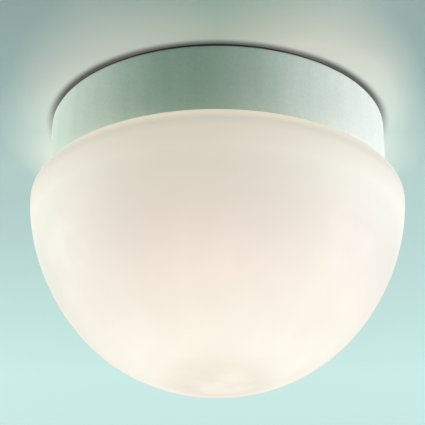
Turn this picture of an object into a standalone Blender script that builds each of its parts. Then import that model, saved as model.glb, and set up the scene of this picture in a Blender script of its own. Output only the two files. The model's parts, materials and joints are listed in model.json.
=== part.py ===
"""Round ceiling light: a steel housing, a domed opal glass shade and a screw-in lamp."""

import math

import bmesh
import bpy
from mathutils import Matrix, Vector
from mathutils.geometry import interpolate_bezier

# Frame: sizes are in metres, the ceiling is the plane z = 0 and the light hangs below it.
# The housing, the shade and the lamp share the z axis.

# Clearances
SEAT_GAP = 0.0003
THREAD_CLEARANCE = 0.00045
CUT_OVERRUN = 0.003

# Glass shade
GLASS_RADIUS = 0.125
GLASS_WALL = 0.003
DOME_DEPTH = 0.125
SHOULDER_RADIUS = 0.0097
NECK_HEIGHT = 0.018
NECK_FILLET = 0.002
BEAD_RADIUS = 0.0025
GLASS_OVERHANG = 0.0115
NECK_INSET = 0.0105
DOME_RADIAL_POWER = 2.17
DOME_AXIAL_POWER = 1.81

# Silicone ring between the shade and the housing
RING_THICKNESS = 0.0012
RING_INSET = 0.0006
RING_LIP_HEIGHT = 0.002
RING_LIP_WALL = 0.0015

# Pressed steel housing
DRUM_HEIGHT = 0.0467
DRUM_WALL = 0.001
DRUM_CORNER = 0.002
HEM_DEPTH = 0.004
HEM_FOLDS = 2

# Ceiling strap, its studs and cap nuts
STRAP_LENGTH = 0.15
STRAP_WIDTH = 0.022
STRAP_THICKNESS = 0.0015
STRAP_SLOT_WIDTH = 0.0055
STRAP_SLOT_LENGTH = 0.018
STRAP_SLOT_OFFSET = 0.04
SCREW_HEAD_SPACE = 0.011
STUD_OFFSET = 0.066
STUD_RADIUS = 0.002
STUD_HEAD_RADIUS = 0.0036
STUD_HEAD_HEIGHT = 0.0009
STUD_LENGTH = 0.0085
CAP_NUT_FLATS = 0.007
CAP_NUT_HEX_HEIGHT = 0.0035
CAP_NUT_DOME_RADIUS = 0.0031
CAP_NUT_WALL = 0.0018
CAP_NUT_CROWN = 0.001

# Foam seal against the ceiling
SEAL_WIDTH = 0.008

# Cable grommet
GROMMET_OFFSET = 0.05
GROMMET_ANGLE = 135
GROMMET_HOLE_RADIUS = 0.009
GROMMET_FLANGE = 0.0025
GROMMET_FLANGE_THICKNESS = 0.0011
GROMMET_BORE_RADIUS = 0.0045
GROMMET_NOZZLE_LENGTH = 0.004
GROMMET_NOZZLE_WALL = 0.0014

# Terminal block with brass inserts and grub screws
BLOCK_LENGTH = 0.018
BLOCK_WIDTH = 0.031
BLOCK_HEIGHT = 0.0115
BLOCK_BEVEL = 0.0006
BLOCK_OFFSET = 0.0622
BLOCK_ANGLE = 45
BLOCK_NOTCH_WIDTH = 0.0014
BLOCK_NOTCH_DEPTH = 0.003
POLE_PITCH = 0.01
INSERT_LENGTH = 0.0165
INSERT_RADIUS = 0.0025
INSERT_BORE_RADIUS = 0.0017
INSERT_DEPTH = 0.0052
GRUB_OFFSET = 0.0045
GRUB_RADIUS = 0.0013
GRUB_SLOT_WIDTH = 0.0006
GRUB_SLOT_DEPTH = 0.0009
GRUB_RECESS = 0.0006

# Leads inside the housing
LEAD_RADIUS = 0.0011
BARE_RADIUS = 0.0006
BARE_LENGTH = 0.005
STRIP_STEP = 0.0002
LEAD_SPACING = 0.0052
LEAD_START = 0.0044
LIVE_ROUTE = ((0.0490, 0.0180, -0.0120), (0.0380, 0.0100, -0.0125))
NEUTRAL_ROUTE = ((0.0570, 0.0190, -0.0125), (0.0470, 0.0020, -0.0135), (0.0330, -0.0070, -0.0120))
EARTH_ROUTE = ((0.0645, 0.0260, -0.0120), (0.0580, 0.0060, -0.0130), (0.0530, -0.0110, -0.0100))

# Earth stud, lug, washer and nut
EARTH_OFFSET = 0.05
EARTH_ANGLE = 315
EARTH_STUD_LENGTH = 0.0085
LUG_THICKNESS = 0.0008
LUG_RADIUS = 0.0042
LUG_BARREL_RADIUS = 0.0016
LUG_BARREL_LENGTH = 0.006
LUG_REACH = 0.0052
LUG_ANGLE = 55
WASHER_THICKNESS = 0.0006
WASHER_RADIUS = 0.0045
EARTH_NUT_FLATS = 0.007
EARTH_NUT_HEIGHT = 0.0032

# Bracket that carries the lampholder
BRACKET_WIDTH = 0.016
BRACKET_THICKNESS = 0.0012
BRACKET_DROP = 0.0085
BRACKET_PLATFORM = 0.019
BRACKET_LEG_RUN = 0.005
BRACKET_FOOT = 0.0125
BRACKET_BEND = 0.002
BRACKET_SCREW_INSET = 0.006

# Porcelain lampholder
HOLDER_RADIUS = 0.021
HOLDER_SKIRT_STEP = 0.0012
HOLDER_EDGE = 0.0012
HOLDER_FLOOR = 0.011
HOLDER_CAVITY_DEPTH = 0.027
HOLDER_SCREW_OFFSET = 0.0115
HOLDER_SCREW_REACH = 0.0055
POST_LENGTH = 0.006
POST_WIDTH = 0.006
POST_HEIGHT = 0.005
POST_BEVEL = 0.0004
POST_X = 0.0139
POST_Y = 0.0078
POST_SCREW_OFFSET = 0.0005

# Centre contact
CONTACT_WIDTH = 0.005
CONTACT_THICKNESS = 0.0005
CONTACT_DROP = 0.0022
CONTACT_TAIL = 0.0025
CONTACT_RIVET_OFFSET = 0.0072
CONTACT_RIVET_RADIUS = 0.0012
CONTACT_RIVET_HEAD_RADIUS = 0.0019
CONTACT_RIVET_HEAD_HEIGHT = 0.0005
CONTACT_FLAT = 0.003
CONTACT_RAMP = 0.003
CONTACT_BEND = 0.0008

# Screw thread of lamp cap and lampholder
THREAD_PITCH = 0.003629
THREAD_CREST_RADIUS = 0.01318
THREAD_DEPTH = 0.001
THREAD_RUNOUT = 0.0012
SHELL_WALL = 0.0006
SHELL_END_GAP = 0.0013

# Lamp
LAMP_RADIUS = 0.03
LAMP_FLARE_RADIUS = 0.04
LAMP_GLASS_WALL = 0.0009
LAMP_FLARE_TUCK = 0.0023
LAMP_NECK_TUCK = 0.01
TIP_RADIUS = 0.0042
TIP_CROWN = 0.0008
TIP_CROWN_SHARE = 0.6
TIP_HEIGHT = 0.0016
INSULATOR_TOP_RADIUS = 0.005
INSULATOR_RADIUS = 0.0094
INSULATOR_CONE = 0.003
INSULATOR_HEIGHT = 0.0045
CAP_LENGTH = 0.0245
CAP_WALL = 0.0008
CAP_SHOULDER = 0.0013
CAP_THREAD_LENGTH = 0.0205
STEM_RADIUS = 0.0022
STEM_LENGTH = 0.034
STEM_FLARE_HEIGHT = 0.006
STEM_FOOT_THICKNESS = 0.001
FILAMENT_SPREAD = 0.0115
FILAMENT_HEIGHT = 0.003
FILAMENT_RADIUS = 0.0006
SUPPORT_RADIUS = 0.0004
SUPPORT_LENGTH = 0.016
SUPPORT_ROOT_INSET = 0.006

# Leaf spring clips and their rivets
CLIP_ANGLES = (90, 210, 330)
CLIP_WIDTH = 0.012
CLIP_THICKNESS = 0.0006
CLIP_WALL_GAP = 0.0012
CLIP_LEAN = 35
CLIP_LEAD = 0.006
CLIP_LEAD_LEAN = 45
CLIP_FOOT_TAIL = 0.005
CLIP_BEND = 0.002

# Small fasteners
RIVET_RADIUS = 0.0015
RIVET_HEAD_RADIUS = 0.003
RIVET_HEAD_HEIGHT = 0.0009
SCREW_RADIUS = 0.0015
SCREW_HEAD_RADIUS = 0.003
SCREW_HEAD_HEIGHT = 0.0018
SCREW_HEAD_EDGE = 0.0005
SCREW_SLOT_WIDTH = 0.0008
SCREW_SLOT_DEPTH = 0.0009
SCREW_TIP_PROUD = 0.0008
HEX_CHAMFER = 0.0004

# Counts of flats and of steps along a curve
ROUND_STEPS = 48
LAMP_STEPS = 24
SMALL_STEPS = 12
DOME_STEPS = 11
INNER_DOME_STEPS = 7
ARC_STEPS = 4
ROWS_PER_PITCH = 5
CURVE_RESOLUTION = 2
CURVE_SAMPLES = 16
SHARP_ANGLE = 35
AXIS_TOLERANCE = 1e-7
FULL_TURN = 2 * math.pi

# Levels and radii that follow from the sizes above
DRUM_RADIUS = GLASS_RADIUS - GLASS_OVERHANG
NECK_RADIUS = DRUM_RADIUS - NECK_INSET
BACK_TOP = -(STRAP_THICKNESS + SEAT_GAP)
BACK_UNDER = BACK_TOP - DRUM_WALL
RIM_Z = BACK_TOP - DRUM_HEIGHT
SHOULDER_TOP = RIM_Z - RING_THICKNESS - 2 * SEAT_GAP
WIDEST_Z = SHOULDER_TOP - SHOULDER_RADIUS
NECK_TOP = SHOULDER_TOP + NECK_HEIGHT
BEAD_Z = NECK_TOP - BEAD_RADIUS
HEM_RADIUS = DRUM_RADIUS - HEM_FOLDS * DRUM_WALL
SEAL_RADIUS = DRUM_RADIUS - DRUM_CORNER
RIVET_OFFSET = SEAL_RADIUS - SEAL_WIDTH - RIVET_HEAD_RADIUS - 2 * SEAT_GAP
BRACKET_FOOT_Z = BACK_UNDER - SEAT_GAP - BRACKET_THICKNESS / 2
BRACKET_PLATFORM_Z = BRACKET_FOOT_Z - BRACKET_DROP
BRACKET_END = BRACKET_PLATFORM + BRACKET_LEG_RUN + BRACKET_FOOT
HOLDER_TOP = BRACKET_PLATFORM_Z - BRACKET_THICKNESS / 2 - SEAT_GAP
CAVITY_TOP = HOLDER_TOP - HOLDER_FLOOR
HOLDER_RIM = CAVITY_TOP - HOLDER_CAVITY_DEPTH
THREAD_ROOT_RADIUS = THREAD_CREST_RADIUS - THREAD_DEPTH
SHELL_INNER_RADIUS = THREAD_CREST_RADIUS + THREAD_CLEARANCE
SHELL_OUTER_RADIUS = SHELL_INNER_RADIUS + SHELL_WALL
CAVITY_RADIUS = SHELL_OUTER_RADIUS + 2 * SEAT_GAP
SHELL_TOP = CAVITY_TOP - SHELL_END_GAP
SHELL_END = HOLDER_RIM + SHELL_END_GAP
CONTACT_ROOT_Z = CAVITY_TOP - SEAT_GAP - CONTACT_THICKNESS / 2
TIP_TOP = CONTACT_ROOT_Z - CONTACT_DROP - CONTACT_THICKNESS / 2 - SEAT_GAP
INSULATOR_TOP = TIP_TOP - TIP_HEIGHT - SEAT_GAP
CAP_TOP = INSULATOR_TOP - INSULATOR_CONE
CAP_END = CAP_TOP - CAP_LENGTH
CAP_INNER_RADIUS = THREAD_ROOT_RADIUS - CAP_WALL
LAMP_NECK_RADIUS = CAP_INNER_RADIUS - SEAT_GAP
LAMP_FLARE_REACH = LAMP_NECK_RADIUS + LAMP_FLARE_RADIUS
LAMP_FLARE_RISE = math.sqrt((LAMP_RADIUS + LAMP_FLARE_RADIUS) ** 2 - LAMP_FLARE_REACH ** 2)
LAMP_FLARE_Z = CAP_END + LAMP_FLARE_TUCK
LAMP_CENTRE = LAMP_FLARE_Z - LAMP_FLARE_RISE
LAMP_BOTTOM = LAMP_CENTRE - LAMP_RADIUS
BLOCK_TOP = BACK_UNDER - SEAT_GAP
BLOCK_UNDER = BLOCK_TOP - BLOCK_HEIGHT
POLE_PLACES = (-POLE_PITCH, 0, POLE_PITCH)
INSERT_Z = BLOCK_TOP - INSERT_DEPTH
GRUB_TOP = INSERT_Z - BARE_RADIUS - SEAT_GAP
POST_Z = HOLDER_TOP + SEAT_GAP + POST_HEIGHT / 2


def clear_scene():
    for thing in list(bpy.data.objects):
        bpy.data.objects.remove(thing, do_unlink=True)


def material(name, colour, roughness, metallic=0.0, alpha=1.0):
    """A Principled material in a plain colour."""
    finish = bpy.data.materials.new(name)
    finish.use_nodes = True
    shader = finish.node_tree.nodes["Principled BSDF"]
    shader.inputs["Base Color"].default_value = (*colour, 1.0)
    shader.inputs["Roughness"].default_value = roughness
    shader.inputs["Metallic"].default_value = metallic
    shader.inputs["Alpha"].default_value = alpha
    return finish


def frame_at(x=0.0, y=0.0, z=0.0, turn=0.0):
    """A place in the light, turned about the vertical by an angle in degrees."""
    return Matrix.Translation((x, y, z)) @ Matrix.Rotation(math.radians(turn), 4, "Z")


def polar(distance, angle, z=0.0):
    """A place at a distance from the axis, in the direction of an angle in degrees."""
    bearing = math.radians(angle)
    return frame_at(distance * math.cos(bearing), distance * math.sin(bearing), z, angle)


def add_piece(name, shape, finish=None, frame=None):
    """Turn a bmesh into a named object with its faces pointing out."""
    bmesh.ops.recalc_face_normals(shape, faces=shape.faces)
    mesh = bpy.data.meshes.new(name)
    shape.to_mesh(mesh)
    shape.free()
    mesh.shade_smooth()
    mesh.set_sharp_from_angle(angle=math.radians(SHARP_ANGLE))
    for face in mesh.polygons:
        face.use_smooth = len(face.vertices) <= 4
    if finish:
        mesh.materials.append(finish)
    piece = bpy.data.objects.new(name, mesh)
    bpy.context.collection.objects.link(piece)
    if frame:
        piece.matrix_world = frame
    return piece


def ring_of(shape, radius, height, steps):
    """One ring of an outline's point, or a single vertex where it lies on the axis."""
    if not callable(radius) and radius < AXIS_TOLERANCE:
        return [shape.verts.new((0, 0, height))]
    ring = []
    for step in range(steps):
        angle = FULL_TURN * step / steps
        reach = radius(angle) if callable(radius) else radius
        ring.append(shape.verts.new((reach * math.cos(angle), reach * math.sin(angle), height)))
    return ring


def bridge(shape, first, second):
    """Faces between two rings, either of which may be a single vertex.

    A ring at the height of a single vertex is closed by one flat face."""
    steps = max(len(first), len(second))
    if min(len(first), len(second)) == 1 and first[0].co.z == second[0].co.z:
        shape.faces.new(first if len(first) > 1 else second)
        return
    for step in range(steps):
        after = (step + 1) % steps
        if len(first) == 1:
            shape.faces.new((first[0], second[step], second[after]))
        elif len(second) == 1:
            shape.faces.new((first[step], first[after], second[0]))
        else:
            shape.faces.new((first[step], first[after], second[after], second[step]))


def turned(name, outline, finish=None, frame=None, steps=SMALL_STEPS):
    """Turn an outline of (radius, height) points about z, where a radius may depend on the angle.

    An outline that starts and ends on the axis makes a solid, any other one a ring."""
    shape = bmesh.new()
    rings = [ring_of(shape, radius, height, steps) for radius, height in outline]
    if len(rings[0]) > 1:
        rings.append(rings[0])
    for first, second in zip(rings, rings[1:]):
        bridge(shape, first, second)
    for ring in rings:
        if len(ring) == 1 and not ring[0].link_faces:
            shape.verts.remove(ring[0])
    return add_piece(name, shape, finish, frame)


def box(name, size, finish=None, frame=None, bevel=0.0):
    """A box about its own centre, with its edges bevelled if a width is given."""
    shape = bmesh.new()
    bmesh.ops.create_cube(shape, size=1)
    bmesh.ops.scale(shape, vec=size, verts=shape.verts)
    if bevel:
        bmesh.ops.bevel(shape, geom=shape.edges, offset=bevel, segments=2, profile=0.5, affect="EDGES")
    return add_piece(name, shape, finish, frame)


def arc(centre, radius, start, end, steps=ARC_STEPS):
    """Points of an arc in the plane of an outline, from one angle in degrees to another."""
    points = []
    for step in range(steps + 1):
        angle = math.radians(start + (end - start) * step / steps)
        points.append((centre[0] + radius * math.cos(angle), centre[1] + radius * math.sin(angle)))
    return points


def bowl(radius, depth, top, steps):
    """Outline of the shade's bowl, from its lowest point on the axis to its widest circle."""
    points = [(0, top - depth)]
    for step in range(1, steps + 1):
        angle = math.pi / 2 * (1 - step / steps)
        reach = radius * math.cos(angle) ** (2 / DOME_RADIAL_POWER)
        drop = depth * max(0, math.sin(angle)) ** (2 / DOME_AXIAL_POWER)
        points.append((reach, top - drop))
    return points


def rounded(points, radius):
    """A polyline with an arc in place of each inner corner."""
    path = [Vector(points[0])]
    for before, corner, after in zip(points, points[1:], points[2:]):
        corner = Vector(corner)
        arriving = (corner - Vector(before)).normalized()
        leaving = (Vector(after) - corner).normalized()
        bend = arriving.angle(leaving)
        start = corner - arriving * radius * math.tan(bend / 2)
        side = leaving - arriving * arriving.dot(leaving)
        centre = start + side.normalized() * radius
        for step in range(ARC_STEPS + 1):
            share = step / ARC_STEPS
            outward = -side.normalized() * math.cos(bend * share) + arriving * math.sin(bend * share)
            path.append(centre + outward * radius)
    path.append(Vector(points[-1]))
    return path


def bent_strip(name, path, thickness, width, finish, frame=None):
    """A flat strip bent along a path of (x, z) points, as wide along y as it says."""
    shape = bmesh.new()
    sections = []
    for index, point in enumerate(path):
        before = path[max(index - 1, 0)]
        after = path[min(index + 1, len(path) - 1)]
        along = (after - before).normalized()
        across = Vector((-along[1], along[0])) * thickness / 2
        section = []
        for side, edge in ((1, -1), (1, 1), (-1, 1), (-1, -1)):
            spot = point + across * side
            section.append(shape.verts.new((spot[0], width / 2 * edge, spot[1])))
        sections.append(section)
    for first, second in zip(sections, sections[1:]):
        bridge(shape, first, second)
    shape.faces.new(sections[0])
    shape.faces.new(reversed(sections[-1]))
    return add_piece(name, shape, finish, frame)


def guide(piece):
    """Keep an object as a hidden guide for a Boolean."""
    piece.hide_render = True
    piece.display_type = "WIRE"
    return piece


def boolean(piece, other, operation="DIFFERENCE"):
    step = piece.modifiers.new(f"{operation.lower()} {other.name}", "BOOLEAN")
    step.operation = operation
    step.object = guide(other)


def drill(piece, radius, frame, top, under, steps=SMALL_STEPS):
    """Cut an upright round hole from one level to another at a frame's place."""
    name = f"{piece.name}_hole_{len(piece.modifiers) + 1}"
    outline = [(0, top), (radius, top), (radius, under), (0, under)]
    boolean(piece, turned(name, outline, frame=frame, steps=steps))


def long_hole(piece, width, place, reach):
    """Cut a round-ended hole where a ceiling screw can shift along x, from -reach to reach."""
    shift = (STRAP_SLOT_LENGTH - STRAP_SLOT_WIDTH) / 2
    shape = bmesh.new()
    ends = arc((shift, 0), width / 2, -90, 90, SMALL_STEPS // 2)
    ends += arc((-shift, 0), width / 2, 90, 270, SMALL_STEPS // 2)
    top = [shape.verts.new((x, y, reach)) for x, y in ends]
    under = [shape.verts.new((x, y, -reach)) for x, y in ends]
    bridge(shape, top, under)
    shape.faces.new(top)
    shape.faces.new(reversed(under))
    name = f"{piece.name}_hole_{len(piece.modifiers) + 1}"
    boolean(piece, add_piece(name, shape, frame=frame_at(place)))


def slot(piece, width, depth, face, frame, length):
    """Cut a screwdriver slot into the lower face of a screw."""
    height = depth + CUT_OVERRUN
    level = face + depth - height / 2
    cutter = box(f"{piece.name}_slot", (length, width, height), frame=frame @ frame_at(z=level))
    boolean(piece, cutter)


def pan_screw(name, face, tip, finish, frame, radius=SCREW_RADIUS, head_radius=SCREW_HEAD_RADIUS):
    """A slotted screw that stands upright: its head is under a face and its tip points up."""
    under = face - SEAT_GAP
    bottom = under - SCREW_HEAD_HEIGHT
    outline = [
        (0, tip),
        (radius, tip),
        (radius, under),
        (head_radius, under),
        (head_radius, bottom + SCREW_HEAD_EDGE),
        (head_radius - SCREW_HEAD_EDGE, bottom),
        (0, bottom),
    ]
    screw = turned(name, outline, finish, frame)
    slot(screw, SCREW_SLOT_WIDTH, SCREW_SLOT_DEPTH, bottom, frame, 2 * head_radius + CUT_OVERRUN)
    return screw


def hexagon(flats):
    """The radius of a hexagon at an angle, from its width across flats."""
    def reach(angle):
        from_flat = (angle + math.pi / 6) % (math.pi / 3) - math.pi / 6
        return flats / 2 / math.cos(from_flat)
    return reach


def mounting_strap(steel):
    """The strap on the ceiling: a round-ended bar with two slots for the ceiling's screws."""
    half = STRAP_WIDTH / 2
    run = STRAP_LENGTH / 2 - half
    shape = bmesh.new()
    corners = arc((run, 0), half, -90, 90, SMALL_STEPS) + arc((-run, 0), half, 90, 270, SMALL_STEPS)
    top = [shape.verts.new((x, y, 0)) for x, y in corners]
    under = [shape.verts.new((x, y, -STRAP_THICKNESS)) for x, y in corners]
    bridge(shape, top, under)
    shape.faces.new(top)
    shape.faces.new(reversed(under))
    strap = add_piece("mounting_strap", shape, steel)
    reach = STRAP_THICKNESS + CUT_OVERRUN
    for side in (-1, 1):
        long_hole(strap, STRAP_SLOT_WIDTH, side * STRAP_SLOT_OFFSET, reach)
        hole = [
            (0, CUT_OVERRUN),
            (STUD_HEAD_RADIUS + SEAT_GAP, CUT_OVERRUN),
            (STUD_HEAD_RADIUS + SEAT_GAP, -STUD_HEAD_HEIGHT - SEAT_GAP),
            (STUD_RADIUS + SEAT_GAP, -STUD_HEAD_HEIGHT - SEAT_GAP),
            (STUD_RADIUS + SEAT_GAP, -reach),
            (0, -reach),
        ]
        boolean(strap, turned(f"strap_seat_{side}", hole, frame=frame_at(side * STUD_OFFSET)))


def strap_studs(steel, nickel):
    """The studs that hang from the strap and the cap nuts that hold the housing on them."""
    tip = -STUD_LENGTH
    stud = [
        (0, 0),
        (STUD_HEAD_RADIUS, 0),
        (STUD_HEAD_RADIUS, -STUD_HEAD_HEIGHT),
        (STUD_RADIUS, -STUD_HEAD_HEIGHT),
        (STUD_RADIUS, tip),
        (0, tip),
    ]
    top = BACK_UNDER - SEAT_GAP
    dome_start = top - CAP_NUT_HEX_HEIGHT
    roof = tip - SEAT_GAP
    bore = STUD_RADIUS + SEAT_GAP
    crown = roof - CAP_NUT_WALL
    side = hexagon(CAP_NUT_FLATS)
    nut = [
        (0, roof),
        (bore, roof),
        (bore, top),
        (CAP_NUT_FLATS / 2 - HEX_CHAMFER, top),
        (side, top - HEX_CHAMFER),
        (side, dome_start + HEX_CHAMFER),
        (CAP_NUT_DOME_RADIUS, dome_start),
        (CAP_NUT_DOME_RADIUS, crown + CAP_NUT_CROWN),
        (CAP_NUT_DOME_RADIUS - CAP_NUT_CROWN, crown),
        (0, crown),
    ]
    for index, place in enumerate((STUD_OFFSET, -STUD_OFFSET), 1):
        turned(f"strap_stud_{index}", stud, steel, frame_at(place))
        turned(f"cap_nut_{index}", nut, nickel, frame_at(place))


def ceiling_seal(foam):
    """The foam ring between the housing and the ceiling, squeezed to the strap's thickness."""
    inner = SEAL_RADIUS - SEAL_WIDTH
    outline = [(SEAL_RADIUS, 0), (SEAL_RADIUS, -STRAP_THICKNESS), (inner, -STRAP_THICKNESS), (inner, 0)]
    turned("ceiling_seal", outline, foam, steps=ROUND_STEPS)


def drum_housing(satin):
    """The pressed steel cup against the ceiling, with a hemmed rim below."""
    corner = (DRUM_RADIUS - DRUM_CORNER, BACK_TOP - DRUM_CORNER)
    hem = HEM_FOLDS * DRUM_WALL
    outline = [(0, BACK_TOP)]
    outline += arc(corner, DRUM_CORNER, 90, 0)
    outline += arc((DRUM_RADIUS - hem / 2, RIM_Z + hem / 2), hem / 2, 0, -180)
    outline += [(HEM_RADIUS, RIM_Z + HEM_DEPTH), (DRUM_RADIUS - DRUM_WALL, RIM_Z + HEM_DEPTH)]
    outline += arc(corner, DRUM_CORNER - DRUM_WALL, 0, 90)
    outline += [(0, BACK_UNDER)]
    drum = turned("drum_housing", outline, satin, steps=ROUND_STEPS)
    top = BACK_TOP + DRUM_WALL
    under = BACK_UNDER - DRUM_WALL
    for side in (-1, 1):
        long_hole(drum, SCREW_HEAD_SPACE, side * STRAP_SLOT_OFFSET, -under)
        drill(drum, STUD_RADIUS + SEAT_GAP, frame_at(side * STUD_OFFSET), top, under)
        bracket_screw = frame_at(y=side * (BRACKET_END - BRACKET_SCREW_INSET))
        drill(drum, SCREW_RADIUS + SEAT_GAP, bracket_screw, top, under)
    drill(drum, GROMMET_HOLE_RADIUS, polar(GROMMET_OFFSET, GROMMET_ANGLE), top, under, LAMP_STEPS)
    drill(drum, STUD_RADIUS + SEAT_GAP, polar(EARTH_OFFSET, EARTH_ANGLE), top, under)
    drill(drum, SCREW_RADIUS + SEAT_GAP, block_frame() @ frame_at(y=POLE_PITCH / 2), top, under)
    for angle in CLIP_ANGLES:
        drill(drum, RIVET_RADIUS + SEAT_GAP, polar(RIVET_OFFSET, angle), top, under)


def cable_grommet(rubber):
    """The rubber grommet that the mains cable comes in through."""
    flange = GROMMET_HOLE_RADIUS + GROMMET_FLANGE
    groove = GROMMET_HOLE_RADIUS - SEAT_GAP
    top = BACK_TOP + SEAT_GAP
    under = BACK_UNDER - SEAT_GAP
    lower = under - GROMMET_FLANGE_THICKNESS
    nozzle = GROMMET_BORE_RADIUS + GROMMET_NOZZLE_WALL
    outline = [
        (GROMMET_BORE_RADIUS, top + GROMMET_FLANGE_THICKNESS),
        (flange, top + GROMMET_FLANGE_THICKNESS),
        (flange, top),
        (groove, top),
        (groove, under),
        (flange, under),
        (flange, lower),
        (nozzle + GROMMET_NOZZLE_WALL, lower),
        (nozzle, lower - GROMMET_NOZZLE_LENGTH),
        (GROMMET_BORE_RADIUS, lower - GROMMET_NOZZLE_LENGTH),
    ]
    turned("cable_grommet", outline, rubber, polar(GROMMET_OFFSET, GROMMET_ANGLE), LAMP_STEPS)


def block_frame():
    """The terminal block's place: its wires run along x and its poles follow each other along y."""
    return polar(BLOCK_OFFSET, BLOCK_ANGLE) @ frame_at(turn=-90)


def terminal_block(nylon, brass, nickel):
    """The terminal block with three brass inserts, six grub screws and its fixing screw."""
    frame = block_frame()
    middle = frame @ frame_at(z=BLOCK_TOP - BLOCK_HEIGHT / 2)
    body = box("terminal_block", (BLOCK_LENGTH, BLOCK_WIDTH, BLOCK_HEIGHT), nylon, middle, BLOCK_BEVEL)
    lying = Matrix.Rotation(math.radians(90), 4, "Y")
    reach = BLOCK_LENGTH + CUT_OVERRUN
    for pole, pole_place in enumerate(POLE_PLACES, 1):
        axis = frame @ frame_at(y=pole_place, z=INSERT_Z) @ lying
        bore = INSERT_RADIUS + SEAT_GAP
        boolean(body, turned(f"block_bore_{pole}", rod(bore, reach), frame=axis))
        half = INSERT_LENGTH / 2
        tube = [
            (INSERT_RADIUS, half),
            (INSERT_RADIUS, -half),
            (INSERT_BORE_RADIUS, -half),
            (INSERT_BORE_RADIUS, half),
        ]
        insert = turned(f"terminal_insert_{pole}", tube, brass, axis)
        for side in (-1, 1):
            index = 2 * pole - (1 if side < 0 else 0)
            well = frame @ frame_at(side * GRUB_OFFSET, pole_place)
            drill(insert, GRUB_RADIUS + SEAT_GAP, well, INSERT_Z, BLOCK_UNDER)
            drill(body, GRUB_RADIUS + SEAT_GAP, well, INSERT_Z, BLOCK_UNDER - CUT_OVERRUN)
            bottom = BLOCK_UNDER + GRUB_RECESS
            grub = [(0, GRUB_TOP), (GRUB_RADIUS, GRUB_TOP), (GRUB_RADIUS, bottom), (0, bottom)]
            screw = turned(f"terminal_screw_{index}", grub, nickel, well)
            slot(screw, GRUB_SLOT_WIDTH, GRUB_SLOT_DEPTH, bottom, well, 2 * GRUB_RADIUS + CUT_OVERRUN)
    for side in (-1, 1):
        height = BLOCK_NOTCH_DEPTH + CUT_OVERRUN
        level = BLOCK_UNDER + BLOCK_NOTCH_DEPTH - height / 2
        place = frame @ frame_at(y=side * POLE_PITCH / 2, z=level)
        boolean(body, box(f"block_notch_{side}", (reach, BLOCK_NOTCH_WIDTH, height), frame=place))
    fixing = frame @ frame_at(y=POLE_PITCH / 2)
    head = BLOCK_UNDER + BLOCK_NOTCH_DEPTH
    drill(body, SCREW_RADIUS + SEAT_GAP, fixing, BLOCK_TOP + CUT_OVERRUN, head - SCREW_HEAD_HEIGHT)
    drill(body, RIVET_HEAD_RADIUS - SEAT_GAP, fixing, head, BLOCK_UNDER - CUT_OVERRUN)
    tip = BACK_TOP + SCREW_TIP_PROUD
    pan_screw("block_screw", head, tip, nickel, fixing, head_radius=RIVET_HEAD_RADIUS - 2 * SEAT_GAP)


def rod(radius, length):
    """Outline of a plain rod about the middle of its length."""
    half = length / 2
    return [(0, half), (radius, half), (radius, -half), (0, -half)]


def wire_bore(name, mouth):
    """A cutter for a blind hole that takes a lead's bare end, about its mouth."""
    return turned(name, rod(BARE_RADIUS + SEAT_GAP, 2 * (BARE_LENGTH + SEAT_GAP)), frame=mouth)


def earth_point(steel, nickel, brass):
    """The riveted earth stud with its ring lug, serrated washer and nut."""
    frame = polar(EARTH_OFFSET, EARTH_ANGLE)
    flange = BACK_TOP + SEAT_GAP
    tip = BACK_UNDER - EARTH_STUD_LENGTH
    stud = [
        (0, flange + RIVET_HEAD_HEIGHT),
        (STUD_HEAD_RADIUS, flange + RIVET_HEAD_HEIGHT),
        (STUD_HEAD_RADIUS, flange),
        (STUD_RADIUS, flange),
        (STUD_RADIUS, tip),
        (0, tip),
    ]
    turned("earth_stud", stud, steel, frame)
    bore = STUD_RADIUS + SEAT_GAP
    lug_top = BACK_UNDER - SEAT_GAP
    lug_under = lug_top - LUG_THICKNESS
    plate = [(0, lug_top), (LUG_RADIUS, lug_top), (LUG_RADIUS, lug_under), (0, lug_under)]
    lug = turned("earth_lug", plate, brass, frame)
    barrel_frame = lug_frame()
    tongue = LUG_REACH + LUG_BARREL_LENGTH / 2
    stud_place = frame.to_translation()
    tongue_place = frame_at(stud_place.x, stud_place.y, lug_top - LUG_THICKNESS / 2, LUG_ANGLE)
    tongue_size = (tongue, LUG_BARREL_RADIUS, LUG_THICKNESS)
    boolean(lug, box("lug_tongue", tongue_size, frame=tongue_place @ frame_at(tongue / 2)), "UNION")
    barrel = turned("lug_barrel", rod(LUG_BARREL_RADIUS, LUG_BARREL_LENGTH), frame=barrel_frame)
    boolean(lug, barrel, "UNION")
    drill(lug, bore, frame, lug_top + CUT_OVERRUN, lug_under - CUT_OVERRUN)
    boolean(lug, wire_bore("lug_bore", barrel_frame @ frame_at(z=LUG_BARREL_LENGTH / 2)))
    washer_top = lug_under - SEAT_GAP
    washer_under = washer_top - WASHER_THICKNESS
    washer = [(WASHER_RADIUS, washer_top), (WASHER_RADIUS, washer_under), (bore, washer_under)]
    turned("earth_washer", washer + [(bore, washer_top)], nickel, frame)
    nut_top = washer_under - SEAT_GAP
    nut_under = nut_top - EARTH_NUT_HEIGHT
    side = hexagon(EARTH_NUT_FLATS)
    nut = [
        (bore, nut_top),
        (EARTH_NUT_FLATS / 2 - HEX_CHAMFER, nut_top),
        (side, nut_top - HEX_CHAMFER),
        (side, nut_under + HEX_CHAMFER),
        (EARTH_NUT_FLATS / 2 - HEX_CHAMFER, nut_under),
        (bore, nut_under),
    ]
    turned("earth_nut", nut, brass, frame)


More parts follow.
